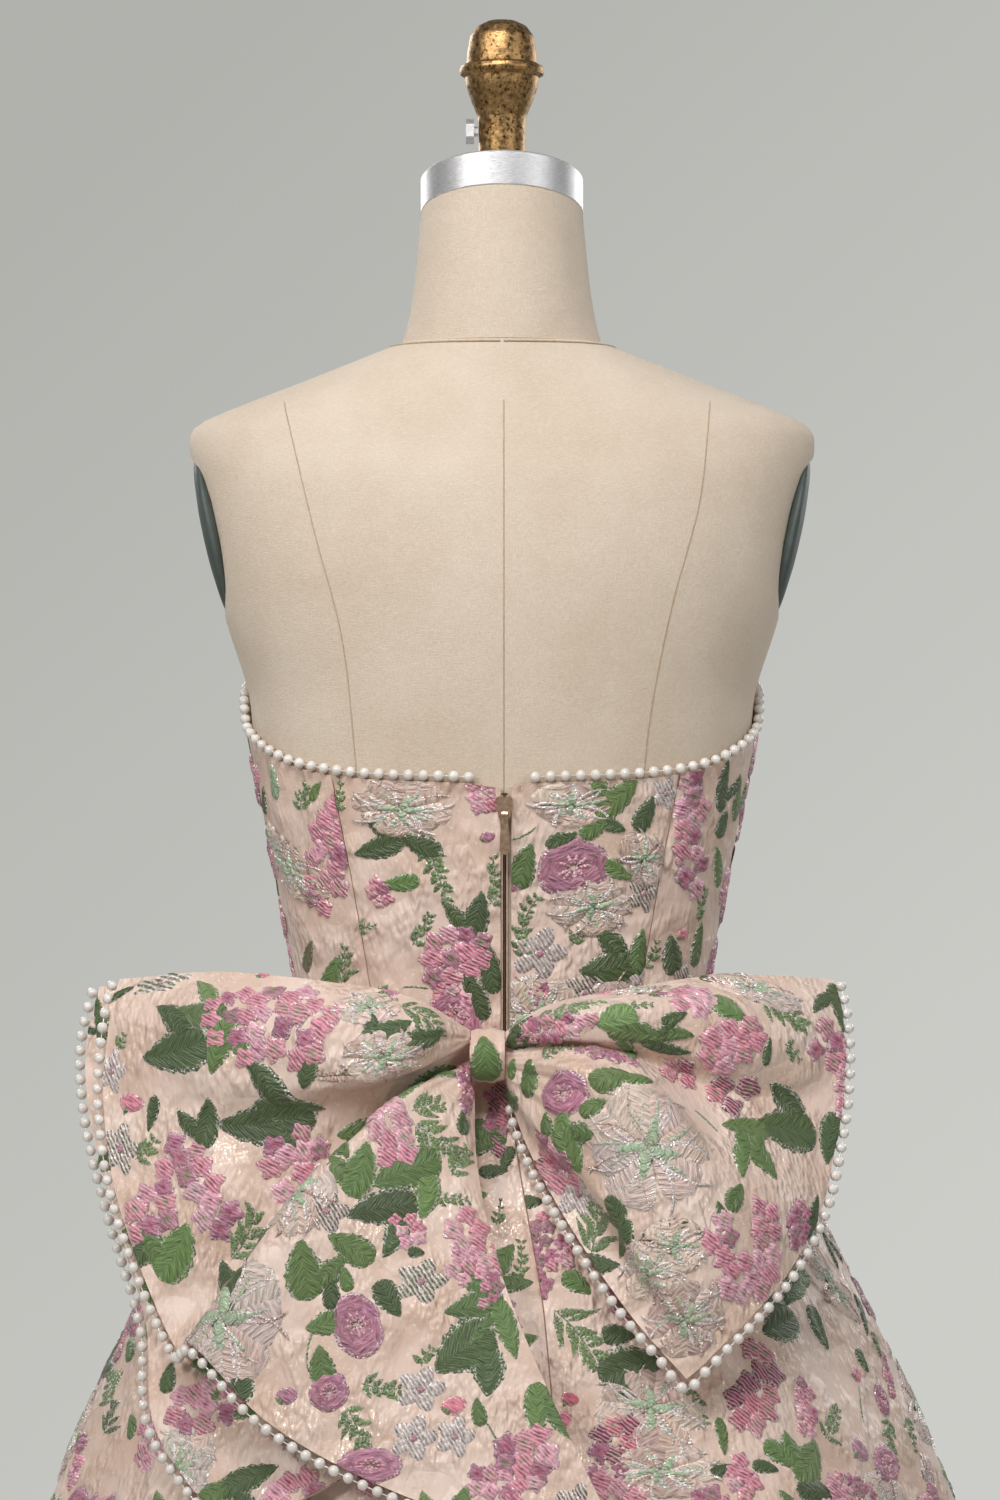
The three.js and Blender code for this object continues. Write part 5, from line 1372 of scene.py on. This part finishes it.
# Studio, in metres: the floor ends below the picture's edge
FLOOR = {"half": 9, "far": 4.2, "drop": 0.0005}
LIGHTS = {  # place, aim, size, power, colour
    "key_left": ((-1.9, -2.1, 2.7), (0, 0, 1.1), (0.7, 0.7), 33, (1.0, 0.985, 0.975)),
    "fill_right": ((2.3, -2.0, 2.2), (0, 0, 1.1), (1.0, 1.4), 16, (0.99, 0.99, 1.0)),
    "top": ((-0.2, -1.3, 2.7), (0, -0.1, 1.4), (0.6, 0.6), 20, (1, 1, 1)),
    "front_left": ((-1.4, 2.4, 2.3), (0, 0, 1.0), (1.2, 1.2), 24, (1, 1, 1)),
    "front_right": ((1.8, 2.0, 1.9), (0, 0, 1.0), (1.2, 1.2), 16, (1, 1, 1))}
AMBIENT = 0.22
FLOOR_PALE, SKY = rgb(219, 220, 215), rgb(236, 238, 238)
# The studio wall's two greys are painted shade and painted light
WALL_PAINTED_SHADE, WALL_PAINTED_LIGHT = rgb(177, 178, 173), rgb(204, 205, 200)


def stage_material(name, colour):
    material, tree, shader = start_material(name, Roughness=0.9)
    tone = span(tree, noise(tree, where(tree), 3), 0.3, 0.7, 0.97, 1.03)
    base = put(tree, "VectorMath", {0: tuple(colour), 3: tone}, operation="SCALE").outputs[0]
    wire(tree, shader, Base_Color=base)
    return material


def studio():
    """A pale floor, and a pale grey studio round it that only the camera sees as it is, with painted light
    that makes it brighter towards the right and the bottom.
    """
    half, far, low = FLOOR["half"], FLOOR["far"], -FLOOR["drop"]
    mesh = bpy.data.meshes.new("studio_floor")
    corners = [(-half, -half, low), (half, -half, low), (half, far, low), (-half, far, low)]
    mesh.from_pydata(corners, [], [(0, 1, 2, 3)])
    mesh.materials.append(stage_material("studio_pale", FLOOR_PALE))
    floor = add_object("studio_floor", mesh)
    world = bpy.data.worlds.new("studio")
    bpy.context.scene.world = world
    world.use_nodes = True
    tree = world.node_tree
    tree.nodes.clear()
    way = put(tree, "TexCoord").outputs["Generated"]
    # Painted light on the studio wall: lighter towards the right and the bottom, darker towards the left and
    # the top
    slope = put(tree, "VectorMath", {0: way, 1: (2.1, 0.0, -2.4)}, operation="DOT_PRODUCT").outputs["Value"]
    wall = blend(tree, calc(tree, "ADD", slope, 0.52, clamp=True), WALL_PAINTED_SHADE, WALL_PAINTED_LIGHT)
    soft = put(tree, "Background", {0: (*SKY, 1), 1: AMBIENT}).outputs[0]
    seen = put(tree, "Background", {0: wall, 1: 1.0}).outputs[0]
    straight = put(tree, "LightPath").outputs["Is Camera Ray"]
    both = put(tree, "MixShader", {0: straight, 1: soft, 2: seen}).outputs[0]
    put(tree, "OutputWorld", {0: both})


studio()


def soft_light(name, place, aim, size, power, colour):
    light = bpy.data.lights.new(name, "AREA")
    light.shape, light.size, light.size_y = "RECTANGLE", size[0], size[1]
    light.energy, light.color = power, colour
    lamp = add_object(name, light)
    lamp.location = place
    lamp.rotation_euler = (Vector(aim) - Vector(place)).to_track_quat("-Z", "Y").to_euler()


for light_name, row in LIGHTS.items():
    soft_light(light_name, *row)
bpy.context.scene.view_settings.view_transform = "Standard"

eye = bpy.data.cameras.new("camera")
eye.lens, eye.sensor_width, eye.sensor_fit = LENS, SENSOR, "AUTO"
eye.clip_end = 30
camera = add_object("camera", eye)
camera.location = CAMERA * MM
camera.rotation_euler = (math.radians(90), 0, 0)
bpy.context.scene.camera = camera
